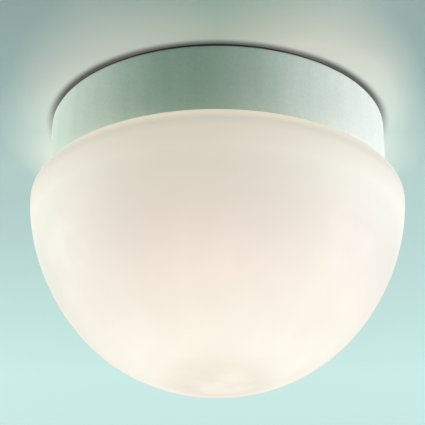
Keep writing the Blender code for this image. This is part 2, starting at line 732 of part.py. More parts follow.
def lug_frame():
    """The middle of the lug's barrel, whose axis is its own z, pointing out of the mouth."""
    stud = polar(EARTH_OFFSET, EARTH_ANGLE).to_translation()
    level = BACK_UNDER - 2 * SEAT_GAP - LUG_BARREL_RADIUS
    distance = LUG_REACH + LUG_BARREL_LENGTH / 2
    outward = frame_at(stud.x, stud.y, level, LUG_ANGLE) @ frame_at(distance)
    return outward @ Matrix.Rotation(math.radians(90), 4, "Y")


def lampholder_bracket(steel, nickel):
    """The hat-shaped bracket across the housing's back and its two screws."""
    path = rounded(
        [
            (-BRACKET_END, BRACKET_FOOT_Z),
            (-BRACKET_PLATFORM - BRACKET_LEG_RUN, BRACKET_FOOT_Z),
            (-BRACKET_PLATFORM, BRACKET_PLATFORM_Z),
            (BRACKET_PLATFORM, BRACKET_PLATFORM_Z),
            (BRACKET_PLATFORM + BRACKET_LEG_RUN, BRACKET_FOOT_Z),
            (BRACKET_END, BRACKET_FOOT_Z),
        ],
        BRACKET_BEND,
    )
    frame = frame_at(turn=90)
    bracket = bent_strip("lampholder_bracket", path, BRACKET_THICKNESS, BRACKET_WIDTH, steel, frame)
    top = BRACKET_FOOT_Z + BRACKET_THICKNESS
    under = BRACKET_FOOT_Z - BRACKET_THICKNESS
    deck = BRACKET_PLATFORM_Z - BRACKET_THICKNESS
    tip = BACK_TOP + SCREW_TIP_PROUD
    for index, side in enumerate((1, -1), 1):
        foot = frame_at(y=side * (BRACKET_END - BRACKET_SCREW_INSET))
        drill(bracket, SCREW_RADIUS + SEAT_GAP, foot, top, under)
        pan_screw(f"bracket_screw_{index}", BRACKET_FOOT_Z - BRACKET_THICKNESS / 2, tip, nickel, foot)
        screw = frame_at(y=side * HOLDER_SCREW_OFFSET)
        drill(bracket, SCREW_RADIUS + SEAT_GAP, screw, deck + 2 * BRACKET_THICKNESS, deck)


def lampholder(porcelain, brass, nickel):
    """The porcelain lampholder with its screws, terminals and contacts."""
    step = HOLDER_RADIUS - HOLDER_SKIRT_STEP
    outline = [
        (0, HOLDER_TOP),
        (HOLDER_RADIUS - HOLDER_EDGE, HOLDER_TOP),
        (HOLDER_RADIUS, HOLDER_TOP - HOLDER_EDGE),
        (HOLDER_RADIUS, CAVITY_TOP + HOLDER_EDGE),
        (step, CAVITY_TOP),
        (step, HOLDER_RIM + HOLDER_EDGE),
        (step - HOLDER_EDGE, HOLDER_RIM),
        (CAVITY_RADIUS + HOLDER_EDGE, HOLDER_RIM),
        (CAVITY_RADIUS, HOLDER_RIM + HOLDER_EDGE),
        (CAVITY_RADIUS, CAVITY_TOP),
        (0, CAVITY_TOP),
    ]
    body = turned("lampholder_body", outline, porcelain, steps=LAMP_STEPS)
    for index, side in enumerate((1, -1), 1):
        place = frame_at(y=side * HOLDER_SCREW_OFFSET)
        bottom = HOLDER_TOP - HOLDER_SCREW_REACH
        drill(body, SCREW_RADIUS + SEAT_GAP, place, HOLDER_TOP + CUT_OVERRUN, bottom - SEAT_GAP)
        head = BRACKET_PLATFORM_Z + BRACKET_THICKNESS / 2 + SEAT_GAP
        screw = [
            (0, head + SCREW_HEAD_HEIGHT),
            (SCREW_HEAD_RADIUS - SCREW_HEAD_EDGE, head + SCREW_HEAD_HEIGHT),
            (SCREW_HEAD_RADIUS, head + SCREW_HEAD_HEIGHT - SCREW_HEAD_EDGE),
            (SCREW_HEAD_RADIUS, head),
            (SCREW_RADIUS, head),
            (SCREW_RADIUS, bottom),
            (0, bottom),
        ]
        turned(f"holder_screw_{index}", screw, nickel, place)
        post_place = frame_at(POST_X, side * POST_Y, POST_Z)
        post_size = (POST_LENGTH, POST_WIDTH, POST_HEIGHT)
        post = box(f"holder_terminal_{index}", post_size, brass, post_place, POST_BEVEL)
        mouth = frame_at(POST_X + POST_LENGTH / 2, side * POST_Y, POST_Z)
        boolean(post, wire_bore(f"post_bore_{index}", mouth @ Matrix.Rotation(math.radians(90), 4, "Y")))
        well = frame_at(POST_X + POST_SCREW_OFFSET, side * POST_Y)
        face = POST_Z + POST_HEIGHT / 2
        end = POST_Z + BARE_RADIUS + SEAT_GAP
        drill(post, GRUB_RADIUS + SEAT_GAP, well, face + CUT_OVERRUN, POST_Z)
        crest = face + GRUB_SLOT_DEPTH
        grub = [(0, crest), (GRUB_RADIUS, crest), (GRUB_RADIUS, end), (0, end)]
        screw = turned(f"holder_terminal_screw_{index}", grub, nickel, well)
        slit = (2 * GRUB_RADIUS + CUT_OVERRUN, GRUB_SLOT_WIDTH, CUT_OVERRUN)
        slit_place = well @ frame_at(z=face + CUT_OVERRUN / 2 + SEAT_GAP)
        boolean(screw, box(f"post_slot_{index}", slit, frame=slit_place))
    rivet_place = frame_at(-CONTACT_RIVET_OFFSET)
    rivet_bore = CONTACT_RIVET_RADIUS + SEAT_GAP
    drill(body, rivet_bore, rivet_place, HOLDER_TOP + CUT_OVERRUN, CAVITY_TOP - CUT_OVERRUN)
    leaf_under = CONTACT_ROOT_Z - CONTACT_THICKNESS / 2 - SEAT_GAP
    rivet = [
        (0, HOLDER_TOP - SEAT_GAP),
        (CONTACT_RIVET_RADIUS, HOLDER_TOP - SEAT_GAP),
        (CONTACT_RIVET_RADIUS, leaf_under),
        (CONTACT_RIVET_HEAD_RADIUS, leaf_under),
        (CONTACT_RIVET_HEAD_RADIUS, leaf_under - CONTACT_RIVET_HEAD_HEIGHT),
        (0, leaf_under - CONTACT_RIVET_HEAD_HEIGHT),
    ]
    turned("contact_rivet", rivet, brass, rivet_place)
    low = CONTACT_ROOT_Z - CONTACT_DROP
    path = rounded(
        [
            (-CONTACT_RIVET_OFFSET - CONTACT_TAIL, CONTACT_ROOT_Z),
            (-CONTACT_FLAT - CONTACT_RAMP / 2, CONTACT_ROOT_Z),
            (-CONTACT_FLAT / 2, low),
            (CONTACT_FLAT, low),
            (CONTACT_FLAT + CONTACT_RAMP / 2, low + CONTACT_DROP / 2),
        ],
        CONTACT_BEND,
    )
    contact = bent_strip("centre_contact", path, CONTACT_THICKNESS, CONTACT_WIDTH, brass)
    drill(contact, rivet_bore, rivet_place, CAVITY_TOP, leaf_under - SEAT_GAP)


def thread_wave(height, angle):
    """The thread at a height and an angle, from 0 in its groove to 1 on its crest."""
    return (1 + math.cos(FULL_TURN * height / THREAD_PITCH - angle)) / 2


def run_out(height, top, under):
    """Fades a thread out at both of its ends, from 1 in the middle to 0 at a level."""
    share = max(0.0, min(1.0, (top - height) / THREAD_RUNOUT, (height - under) / THREAD_RUNOUT))
    return share * share * (3 - 2 * share)


def thread_rows(top, under, radius_at):
    """Outline points down a thread, each with a radius that depends on the angle."""
    count = math.ceil((top - under) * ROWS_PER_PITCH / THREAD_PITCH)
    rows = []
    for row in range(count + 1):
        height = top + (under - top) * row / count
        rows.append((radius_at(height, top, under), height))
    return rows


def cap_radius(height, top, under):
    def reach(angle):
        ridge = thread_wave(height, angle)
        return THREAD_ROOT_RADIUS + THREAD_DEPTH * ridge * run_out(height, top, under)
    return reach


def shell_radius(height, top, under):
    def reach(angle):
        ridge = 1 - thread_wave(height, angle)
        return SHELL_INNER_RADIUS - THREAD_DEPTH * ridge * run_out(height, top, under)
    return reach


def screw_shell(brass):
    """The threaded shell that lines the lampholder."""
    rows = thread_rows(SHELL_TOP, SHELL_END, shell_radius)
    outline = rows + [(SHELL_OUTER_RADIUS, SHELL_END), (SHELL_OUTER_RADIUS, SHELL_TOP)]
    turned("screw_shell", outline, brass, steps=LAMP_STEPS)


def lamp_cap(nickel, brass, vitrite):
    """The lamp's contact tip, insulator and threaded cap."""
    tip = [
        (0, TIP_TOP),
        (TIP_RADIUS * TIP_CROWN_SHARE, TIP_TOP - TIP_CROWN * TIP_CROWN_SHARE / 2),
        (TIP_RADIUS, TIP_TOP - TIP_CROWN),
        (TIP_RADIUS, TIP_TOP - TIP_HEIGHT),
        (0, TIP_TOP - TIP_HEIGHT),
    ]
    tip_piece = turned("lamp_contact_tip", tip, brass, steps=SMALL_STEPS)
    insulator = [
        (0, INSULATOR_TOP),
        (INSULATOR_TOP_RADIUS, INSULATOR_TOP),
        (INSULATOR_RADIUS, CAP_TOP),
        (INSULATOR_RADIUS, INSULATOR_TOP - INSULATOR_HEIGHT),
        (0, INSULATOR_TOP - INSULATOR_HEIGHT),
    ]
    insulator_piece = turned("lamp_insulator", insulator, vitrite, steps=LAMP_STEPS)
    lip = INSULATOR_RADIUS + SEAT_GAP
    shoulder = CAP_TOP - CAP_SHOULDER
    rows = thread_rows(shoulder, CAP_TOP - CAP_THREAD_LENGTH, cap_radius)
    outline = [(lip, CAP_TOP), (lip + CAP_WALL, CAP_TOP)] + rows
    outline += [(THREAD_ROOT_RADIUS, CAP_END), (CAP_INNER_RADIUS, CAP_END)]
    outline += [(CAP_INNER_RADIUS, shoulder - CAP_WALL), (lip, shoulder)]
    cap_piece = turned("lamp_screw_cap", outline, nickel, steps=LAMP_STEPS)
    return tip_piece, [insulator_piece, cap_piece]


def lamp_glass(frosted, clear, tungsten, nickel):
    """The lamp's envelope, with the stem, supports and filament inside."""
    centre = (0, LAMP_CENTRE)
    flare = (LAMP_FLARE_REACH, LAMP_FLARE_Z)
    lean = math.degrees(math.atan2(LAMP_FLARE_RISE, LAMP_FLARE_REACH))
    top = CAP_END + LAMP_NECK_TUCK
    wall = LAMP_GLASS_WALL
    outer = arc(centre, LAMP_RADIUS, -90, lean, 2 * ARC_STEPS)
    outer += arc(flare, LAMP_FLARE_RADIUS, 180 + lean, 180)[1:]
    inner = arc(flare, LAMP_FLARE_RADIUS + wall, 180, 180 + lean)
    inner += arc(centre, LAMP_RADIUS - wall, lean, -90, 2 * ARC_STEPS)[1:]
    lip = [(LAMP_NECK_RADIUS, top), (LAMP_NECK_RADIUS - wall, top)]
    outline = [(0, LAMP_BOTTOM)] + outer[1:] + lip + inner[:-1] + [(0, LAMP_BOTTOM + wall)]
    envelope = turned("lamp_envelope", outline, frosted, steps=LAMP_STEPS)
    foot = LAMP_NECK_RADIUS - wall - SEAT_GAP
    foot_under = top - STEM_FOOT_THICKNESS
    stem_end = top - STEM_LENGTH
    stem = [
        (0, top),
        (foot, top),
        (foot, foot_under),
        (2 * STEM_RADIUS, foot_under - STEM_FLARE_HEIGHT / 2),
        (STEM_RADIUS, foot_under - STEM_FLARE_HEIGHT),
        (STEM_RADIUS, stem_end),
        (0, stem_end),
    ]
    pieces = [envelope, turned("lamp_stem", stem, clear)]
    start_z = stem_end + SUPPORT_ROOT_INSET
    end_z = stem_end - SUPPORT_LENGTH
    root = STEM_RADIUS + SUPPORT_RADIUS + SEAT_GAP
    for index, side in enumerate((1, -1), 1):
        route = [
            (side * root, 0, start_z),
            (side * root, 0, stem_end),
            (side * FILAMENT_SPREAD, 0, end_z + FILAMENT_HEIGHT),
            (side * FILAMENT_SPREAD, 0, end_z),
        ]
        pieces.append(wire(f"lamp_support_{index}", route, SUPPORT_RADIUS, nickel))
    reach = FILAMENT_SPREAD - SUPPORT_RADIUS - SEAT_GAP
    sag = end_z - FILAMENT_HEIGHT / 2
    bow = [(-reach, 0, end_z), (-reach / 2, 0, sag), (reach / 2, 0, sag), (reach, 0, end_z)]
    pieces.append(wire("lamp_filament", bow, FILAMENT_RADIUS, tungsten))
    return pieces


def wire(name, points, radius, finish, shares=None):
    """A round wire along points, with its radius scaled by a share at each of them if given."""
    curve = bpy.data.curves.new(name, "CURVE")
    curve.dimensions = "3D"
    curve.bevel_depth = radius
    curve.bevel_resolution = CURVE_RESOLUTION
    curve.use_fill_caps = True
    line = curve.splines.new("POLY")
    line.points.add(len(points) - 1)
    for spot, point, share in zip(line.points, points, shares or [1] * len(points)):
        spot.co = (*point, 1)
        spot.radius = share
    curve.materials.append(finish)
    piece = bpy.data.objects.new(name, curve)
    bpy.context.collection.objects.link(piece)
    return piece


def smooth_route(points, spacing):
    """Points at an even spacing on a smooth curve through the route's own points."""
    padded = [2 * points[0] - points[1]] + points + [2 * points[-1] - points[-2]]
    fine = []
    for before, start, end, after in zip(padded, padded[1:], padded[2:], padded[3:]):
        leaving = start + (end - before) / 6
        arriving = end - (after - start) / 6
        fine += interpolate_bezier(start, leaving, arriving, end, CURVE_SAMPLES)[:-1]
    fine.append(points[-1])
    lengths = [0.0]
    for before, after in zip(fine, fine[1:]):
        lengths.append(lengths[-1] + (after - before).length)
    count = max(2, round(lengths[-1] / spacing))
    even = []
    index = 0
    for step in range(count + 1):
        target = lengths[-1] * step / count
        while index < len(lengths) - 2 and lengths[index + 1] < target:
            index += 1
        share = (target - lengths[index]) / (lengths[index + 1] - lengths[index])
        even.append(fine[index].lerp(fine[index + 1], share))
    return even


def lead(name, start, start_way, middle, end, end_way, finish):
    """A lead from one terminal to another: bare ends, and a sleeve along a smooth route.

    A way points out of its terminal. The sleeve begins a gap away from the terminal's face."""
    sleeve_start = start + start_way * (SEAT_GAP + STRIP_STEP)
    sleeve_end = end + end_way * (SEAT_GAP + STRIP_STEP)
    points = [sleeve_start, sleeve_start + start_way * LEAD_START]
    points += [Vector(spot) for spot in middle]
    points += [sleeve_end + end_way * LEAD_START, sleeve_end]
    sleeve = smooth_route(points, LEAD_SPACING)
    bare = BARE_RADIUS / LEAD_RADIUS
    route = [start - start_way * BARE_LENGTH, sleeve_start - start_way * STRIP_STEP] + sleeve
    route += [sleeve_end - end_way * STRIP_STEP, end - end_way * BARE_LENGTH]
    shares = [bare, bare] + [1] * len(sleeve) + [bare, bare]
    wire(name, route, LEAD_RADIUS, finish, shares)


def leads(brown, blue, green):
    """The live and neutral leads to the lampholder, and the earth lead to its stud."""
    frame = block_frame()
    out = frame.to_3x3() @ Vector((1, 0, 0))
    face = [frame @ Vector((BLOCK_LENGTH / 2, place, INSERT_Z)) for place in POLE_PLACES]
    post_face = POST_X + POST_LENGTH / 2
    outward = Vector((1, 0, 0))
    live_end = Vector((post_face, POST_Y, POST_Z))
    neutral_end = Vector((post_face, -POST_Y, POST_Z))
    lead("lead_live", face[0], out, LIVE_ROUTE, live_end, outward, brown)
    lead("lead_neutral", face[1], out, NEUTRAL_ROUTE, neutral_end, outward, blue)
    barrel = lug_frame()
    mouth = barrel @ Vector((0, 0, LUG_BARREL_LENGTH / 2))
    lead("lead_earth", face[2], out, EARTH_ROUTE, mouth, barrel.to_3x3() @ Vector((0, 0, 1)), green)


def spring_clips(spring_steel, nickel):
    """The leaf springs that catch the bead of the shade's neck, and the rivets that hold them."""
    half = CLIP_THICKNESS / 2
    foot_z = BACK_UNDER - SEAT_GAP - half
    leg = DRUM_RADIUS - DRUM_WALL - CLIP_WALL_GAP - half
    tip_radius = NECK_RADIUS + SEAT_GAP + half
    lean = math.radians(CLIP_LEAN)
    clearance = BEAD_RADIUS + SEAT_GAP + half
    drop = (clearance - (tip_radius - NECK_RADIUS) * math.cos(lean)) / math.sin(lean)
    tip_z = BEAD_Z - drop
    knee_z = tip_z + (leg - tip_radius) / math.tan(lean)
    lead_lean = math.radians(CLIP_LEAD_LEAN)
    path = rounded(
        [
            (RIVET_OFFSET - CLIP_FOOT_TAIL, foot_z),
            (leg, foot_z),
            (leg, knee_z),
            (tip_radius, tip_z),
            (tip_radius + CLIP_LEAD * math.sin(lead_lean), tip_z - CLIP_LEAD * math.cos(lead_lean)),
        ],
        CLIP_BEND,
    )
    upper = BACK_TOP + SEAT_GAP
    lower = foot_z - half - SEAT_GAP
    rivet = [
        (0, upper + RIVET_HEAD_HEIGHT),
        (RIVET_HEAD_RADIUS, upper + RIVET_HEAD_HEIGHT),
        (RIVET_HEAD_RADIUS, upper),
        (RIVET_RADIUS, upper),
        (RIVET_RADIUS, lower),
        (RIVET_HEAD_RADIUS, lower),
        (RIVET_HEAD_RADIUS, lower - RIVET_HEAD_HEIGHT),
        (0, lower - RIVET_HEAD_HEIGHT),
    ]
    for index, angle in enumerate(CLIP_ANGLES, 1):
        frame = frame_at(turn=angle)
        clip = bent_strip(f"spring_clip_{index}", path, CLIP_THICKNESS, CLIP_WIDTH, spring_steel, frame)
        place = polar(RIVET_OFFSET, angle)
        drill(clip, RIVET_RADIUS + SEAT_GAP, place, BACK_UNDER, lower - CLIP_THICKNESS)
        turned(f"clip_rivet_{index}", rivet, nickel, place)


def glass_shade(opal):
    """The opal glass: a deep bowl, a rounded shoulder, and a neck with a bead at its top."""
    shoulder = (GLASS_RADIUS - SHOULDER_RADIUS, WIDEST_Z)
    fillet = (NECK_RADIUS + NECK_FILLET, SHOULDER_TOP + NECK_FILLET)
    outline = bowl(GLASS_RADIUS, DOME_DEPTH, WIDEST_Z, DOME_STEPS)
    outline += arc(shoulder, SHOULDER_RADIUS, 0, 90)[1:]
    outline += arc(fillet, NECK_FILLET, 270, 180, ARC_STEPS - 1)
    outline += arc((NECK_RADIUS, BEAD_Z), BEAD_RADIUS, -90, 90)
    outline += [(NECK_RADIUS - GLASS_WALL, NECK_TOP)]
    outline += arc(fillet, NECK_FILLET + GLASS_WALL, 180, 270, ARC_STEPS - 1)
    outline += arc(shoulder, SHOULDER_RADIUS - GLASS_WALL, 90, 0)
    inside = bowl(GLASS_RADIUS - GLASS_WALL, DOME_DEPTH - GLASS_WALL, WIDEST_Z, INNER_DOME_STEPS)
    outline += reversed(inside[:-1])
    return turned("glass_shade", outline, opal, steps=ROUND_STEPS)


def shade_ring(silicone):
    """The silicone ring on the shade's shoulder, with a lip inside the housing's rim."""
    inner = NECK_RADIUS + NECK_FILLET + SEAT_GAP
    outer = DRUM_RADIUS - RING_INSET
    lip = HEM_RADIUS - SEAT_GAP
    top = RIM_Z - SEAT_GAP
    under = SHOULDER_TOP + SEAT_GAP
    outline = [
        (outer, top),
        (outer, under),
        (inner, under),
        (inner, top),
        (lip - RING_LIP_WALL, top),
        (lip - RING_LIP_WALL, RIM_Z + RING_LIP_HEIGHT),
        (lip, RIM_Z + RING_LIP_HEIGHT),
        (lip, top),
    ]
    return turned("shade_ring", outline, silicone, steps=ROUND_STEPS)


def carried_by(name, pieces):
    """An empty on the axis of a joint that carries the pieces that move with it."""
    carrier = bpy.data.objects.new(name, None)
    bpy.context.collection.objects.link(carrier)
    for piece in pieces:
        piece.parent = carrier
    return carrier


def main():
    clear_scene()
    satin = material("satin paint", (0.72, 0.78, 0.74), 0.45, 0.2)
    zinc = material("zinc plated steel", (0.62, 0.63, 0.62), 0.4, 1.0)
    nickel = material("nickel plate", (0.72, 0.7, 0.66), 0.25, 1.0)
    brass = material("brass", (0.8, 0.62, 0.3), 0.3, 1.0)
    spring_steel = material("spring steel", (0.55, 0.56, 0.58), 0.3, 1.0)
    opal = material("opal glass", (0.95, 0.92, 0.86), 0.3)
    silicone = material("silicone", (0.85, 0.84, 0.8), 0.6)
    foam = material("seal foam", (0.06, 0.065, 0.06), 0.9)
    rubber = material("grommet rubber", (0.05, 0.05, 0.05), 0.7)
    nylon = material("terminal nylon", (0.85, 0.84, 0.8), 0.5)
    porcelain = material("porcelain", (0.9, 0.88, 0.83), 0.2)
    frosted = material("frosted glass", (0.96, 0.95, 0.92), 0.5)
    clear = material("stem glass", (0.9, 0.92, 0.92), 0.05, alpha=0.4)
    vitrite = material("black glass", (0.02, 0.02, 0.03), 0.1)
    tungsten = material("tungsten", (0.35, 0.34, 0.33), 0.4, 1.0)
    brown = material("brown sleeve", (0.25, 0.12, 0.05), 0.45)
    blue = material("blue sleeve", (0.05, 0.2, 0.5), 0.45)
    green = material("green and yellow sleeve", (0.35, 0.6, 0.1), 0.45)

    mounting_strap(zinc)
    strap_studs(zinc, nickel)
    ceiling_seal(foam)
    drum_housing(satin)
    cable_grommet(rubber)
    terminal_block(nylon, brass, nickel)
    earth_point(zinc, nickel, brass)
    lampholder_bracket(zinc, nickel)
    lampholder(porcelain, brass, nickel)
    screw_shell(brass)
    leads(brown, blue, green)
    spring_clips(spring_steel, nickel)
    carried_by("shade_drop", [glass_shade(opal), shade_ring(silicone)])
    tip, cap = lamp_cap(nickel, brass, vitrite)
    lamp = carried_by("lamp_spin", cap + lamp_glass(frosted, clear, tungsten, nickel))
    carried_by("lamp_travel", [tip, lamp])


main()
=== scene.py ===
"""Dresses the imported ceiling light: finer pieces, finishes, the ceiling, the lamps and the camera."""

import json
import math

import bmesh
import bpy
from mathutils import Matrix, Vector

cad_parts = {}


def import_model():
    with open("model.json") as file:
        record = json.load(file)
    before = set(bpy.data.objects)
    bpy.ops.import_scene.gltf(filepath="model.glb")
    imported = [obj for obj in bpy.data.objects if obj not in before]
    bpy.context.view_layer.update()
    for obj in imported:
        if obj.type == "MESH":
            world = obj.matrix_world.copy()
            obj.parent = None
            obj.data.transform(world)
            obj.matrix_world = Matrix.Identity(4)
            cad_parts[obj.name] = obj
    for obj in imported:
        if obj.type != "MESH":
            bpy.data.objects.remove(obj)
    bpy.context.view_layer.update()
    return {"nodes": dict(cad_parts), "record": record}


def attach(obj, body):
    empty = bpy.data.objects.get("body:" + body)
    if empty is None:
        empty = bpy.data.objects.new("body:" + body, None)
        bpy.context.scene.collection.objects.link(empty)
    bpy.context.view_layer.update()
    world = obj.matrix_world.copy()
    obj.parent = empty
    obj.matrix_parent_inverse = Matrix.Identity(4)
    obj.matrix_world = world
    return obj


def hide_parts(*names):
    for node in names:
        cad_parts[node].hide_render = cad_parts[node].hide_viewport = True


# Sizes are in metres in the row frame: the ceiling is z = 0 and the light hangs below it.
SEAT_GAP = 0.0003
WELD_DISTANCE = 1e-6
AXIS_TOLERANCE = 1e-7

# Glass shade
GLASS_RADIUS = 0.125
GLASS_WALL = 0.003
DOME_DEPTH = 0.125
DOME_RADIAL_POWER = 2.17
DOME_AXIAL_POWER = 1.81
SHOULDER_RADIUS = 0.0097
NECK_RADIUS = 0.103
NECK_HEIGHT = 0.018
NECK_FILLET = 0.002
BEAD_RADIUS = 0.0025

# Steel housing and its holes
DRUM_RADIUS = 0.1135
DRUM_WALL = 0.001
DRUM_CORNER = 0.002
BACK_TOP = -0.0018
BACK_UNDER = BACK_TOP - DRUM_WALL
RIM_Z = -0.0485
HEM_DEPTH = 0.004
HEM_RADIUS = 0.1115
HOLE_REACH = 4 * DRUM_WALL
SCREW_HOLE_WIDTH = 0.011
SCREW_HOLE_SHIFT = 0.00625
SCREW_HOLE_OFFSET = 0.04
STUD_HOLE_RADIUS = 0.0023
SMALL_HOLE_RADIUS = 0.0018
CABLE_HOLE_RADIUS = 0.009
STUD_OFFSET = 0.066
BRACKET_SCREW_OFFSET = 0.0305
CABLE_HOLE_OFFSET = 0.05
CABLE_HOLE_ANGLE = 135
EARTH_STUD_OFFSET = 0.05
EARTH_STUD_ANGLE = 315
CLIP_RIVET_OFFSET = 0.0999
CLIP_ANGLES = (90, 210, 330)
BLOCK_OFFSET = 0.0622
BLOCK_ANGLE = 45
BLOCK_SCREW_SHIFT = 0.005

# Silicone ring and foam seal
RING_THICKNESS = 0.0012
RING_INNER = 0.1053
RING_OUTER = 0.1129
RING_LIP = 0.1112
RING_LIP_WALL = 0.0015
RING_LIP_HEIGHT = 0.002
SEAL_OUTER = 0.1115
SEAL_INNER = 0.1035
SEAL_HEIGHT = 0.0015
SEAL_BULGE = SEAL_HEIGHT / 6

# Heights that follow from these
SHOULDER_TOP = RIM_Z - RING_THICKNESS - 2 * SEAT_GAP
WIDEST_Z = SHOULDER_TOP - SHOULDER_RADIUS
NECK_TOP = SHOULDER_TOP + NECK_HEIGHT
BEAD_Z = NECK_TOP - BEAD_RADIUS
GLASS_BOTTOM = WIDEST_Z - DOME_DEPTH

# Lamp and lampholder
LAMP_RADIUS = 0.03
LAMP_CENTRE = -0.10236
LAMP_WALL = 0.0009
LAMP_NECK_RADIUS = 0.01108
LAMP_NECK_TOP = -0.0468
LAMP_FLARE_RADIUS = 0.04
LAMP_GLOW_HEIGHTS = (-0.133, -0.055)
HOLDER_RADIUS = 0.021
HOLDER_SKIRT_RADIUS = 0.0198
HOLDER_EDGE = 0.0012
HOLDER_TOP = -0.0131
HOLDER_RIM = -0.0511
CAVITY_RADIUS = 0.01483
CAVITY_TOP = -0.0241
HOLDER_SCREW_OFFSET = 0.0115
HOLDER_SCREW_REACH = 0.0058
CONTACT_RIVET_OFFSET = 0.0072
CONTACT_HOLE_RADIUS = 0.0015

# Camera, from a fit of the photograph's outlines
CAMERA_PLACE = (0.0, -0.8464, -0.4724)
CAMERA_PITCH = 25.86
CAMERA_YAW = 0.227
CAMERA_ROLL = 0.21
CAMERA_LENS = 118.6
SENSOR_WIDTH = 36

# Ceiling: its extent, and the spans of its tones and of its painted light and shade
CEILING_INNER = 0.1095
CEILING_OUTER = 6.0
PATCH_RADIUS = 0.062
CEILING_TONE_SPAN = (-0.2, 0.5)
CEILING_LIT_SPAN = (0.3, 0.7)
CORNER_GLOW_PLACE = (0.07, -0.18, 0.0)
CORNER_GLOW_RADIUS = 0.08
COOL_SHADE_X_SPAN = (0.105, 0.135)
COOL_SHADE_BACK_SPAN = (-0.03, 0.05)
COOL_SHADE_FRONT_SPAN = (-0.13, -0.07)
WARM_LIGHT_HALF_WIDTH = 0.09
WARM_LIGHT_Y_SPAN = (-0.125, -0.11)

# Glow on the ceiling round the light. East and north say how far a bearing points there, from -1 to 1
HALO_START = 0.118
HALO_FRONT_REACH = 0.16
HALO_WIDE_REACH = 0.192
HALO_SIDE_CHANGE = -0.04
HALO_WIDE_EAST = 0.45
HALO_SIDE_EAST = 0.9
HALO_FLOOR_SHARE = 0.28
HALO_FLANK_SHARE = 0.4
HALO_LOBE_SHARE = 1.15
HALO_TILT_SHARE = -0.5
HALO_LEVEL_SHARE = 0.98
HALO_PEAK_SHARE = 1.1

# Dark line where the ceiling meets the light, with the share of light that is left in it
CONTACT_FRONT_RADIUS = 0.1117
CONTACT_RADIUS = 0.1125
CONTACT_WIDTH = 0.0063
CONTACT_FRONT_NORTH = (-1.0, -0.75)
CONTACT_BACK_NORTH = (-0.5, 0.2)
CONTACT_FRONT_SHARE = 0.33
CONTACT_SHARE = 0.17
CONTACT_BACK_SHARE = 0.75

# Painted glow of the glass, with its painted shade and highlights. Heights are shares of its height, from its
# lowest point to its shoulder's top
DIM_X_SPAN = (-0.12, -0.02)
DIM_TOP_SPAN = (0.5, 0.8)
DIM_FOOT_SPAN = (0.05, 0.3)
DIM_SHARE = 0.3
FOOT_HEIGHT_SHARE = 0.06
FOOT_HIGHLIGHT_SHARE = 0.7
STREAK_SHARE = 0.12
OUTLINE_SHADE_SHARE = 0.3

# World: how far sideways and up a direction points where one fill passes into another
SIDE_FILL_SPAN = (0.3, 0.9)
SKY_FILL_SPAN = (0.0, 0.1)

# Lamps
LAMP_SIZE = (1.0, 0.6)
LAMP_AIM = (0.0, 0.0, -0.05)
LEFT_LAMP = (-1.09, 0.13, -0.14)
LEFT_POWER = 14.8
RIGHT_LAMP = (1.09, -0.16, -0.3)
RIGHT_POWER = 14.0

# Steps round an axis and along a curve
FINE_STEPS = 192
HOLE_STEPS = 32
BOWL_STEPS = 72
BOWL_INNER_STEPS = 40
SHOULDER_STEPS = 18
SHOULDER_INNER_STEPS = 12
BEAD_STEPS = 10
HEM_STEPS = 12
CORNER_STEPS = 8
EDGE_STEPS = 6
GLOBE_STEPS = 40
FLARE_STEPS = 16

# Edges, with angles in degrees
SHARP_ANGLE = 40
FLAT_ANGLE = 0.5
EDGE_BEVEL = 0.0001
EDGE_SEGMENTS = 2

# The part of a noise's range that most of its values lie in
NOISE_SPAN = (0.3, 0.7)

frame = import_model()


def srgb(red, green, blue, strength=1.0):
    """A linear colour from display values of 0 to 255."""
    linear = []
    for value in (red, green, blue):
        share = value / 255
        linear.append(share / 12.92 if share <= 0.04045 else ((share + 0.055) / 1.055) ** 2.4)
    return (*(strength * value for value in linear), 1.0)


BLACK = srgb(0, 0, 0)
BACKDROP = srgb(203, 235, 230)
FRONT_FILL = srgb(82, 176, 110, 0.25)
SIDE_FILL = srgb(156, 136, 146, 0.25)
SKY_FILL = srgb(204, 214, 209)


# Meshes

def add_mesh(name, shape):
    """An object from a shape, smooth apart from its sharp edges. The shape is used up."""
    bmesh.ops.recalc_face_normals(shape, faces=shape.faces)
    mesh = bpy.data.meshes.new(name)
    shape.to_mesh(mesh)
    shape.free()
    mesh.shade_smooth()
    mesh.set_sharp_from_angle(angle=math.radians(SHARP_ANGLE))
    piece = bpy.data.objects.new(name, mesh)
    bpy.context.scene.collection.objects.link(piece)
    return piece


def ring_of(shape, radius, height, steps):
    """A ring of points round z, or the one point on the axis."""
    if radius < AXIS_TOLERANCE:
        return [shape.verts.new((0, 0, height))]
    ring = []
    for step in range(steps):
        angle = math.tau / steps * step
        ring.append(shape.verts.new((radius * math.cos(angle), radius * math.sin(angle), height)))
    return ring


def bridge(shape, first, second):
    """Faces between two rings, or one flat face where a ring closes at the height of an axis point."""
    steps = max(len(first), len(second))
    if min(len(first), len(second)) == 1 and abs(first[0].co.z - second[0].co.z) < AXIS_TOLERANCE:
        shape.faces.new(first if len(first) > 1 else second)
        return
    for step in range(steps):
        after = (step + 1) % steps
        if len(first) == 1:
            shape.faces.new((first[0], second[step], second[after]))
        elif len(second) == 1:
            shape.faces.new((first[step], first[after], second[0]))
        else:
            shape.faces.new((first[step], first[after], second[after], second[step]))


def lathe(name, outline, steps=FINE_STEPS):
    """Turns an outline of (radius, height) points about z: a solid if it ends on the axis, else a ring."""
    shape = bmesh.new()
    rings = [ring_of(shape, radius, height, steps) for radius, height in outline]
    if len(rings[0]) > 1:
        rings.append(rings[0])
    for first, second in zip(rings, rings[1:]):
        bridge(shape, first, second)
    for ring in rings:
        if len(ring) == 1 and not ring[0].link_faces:
            shape.verts.remove(ring[0])
    return add_mesh(name, shape)


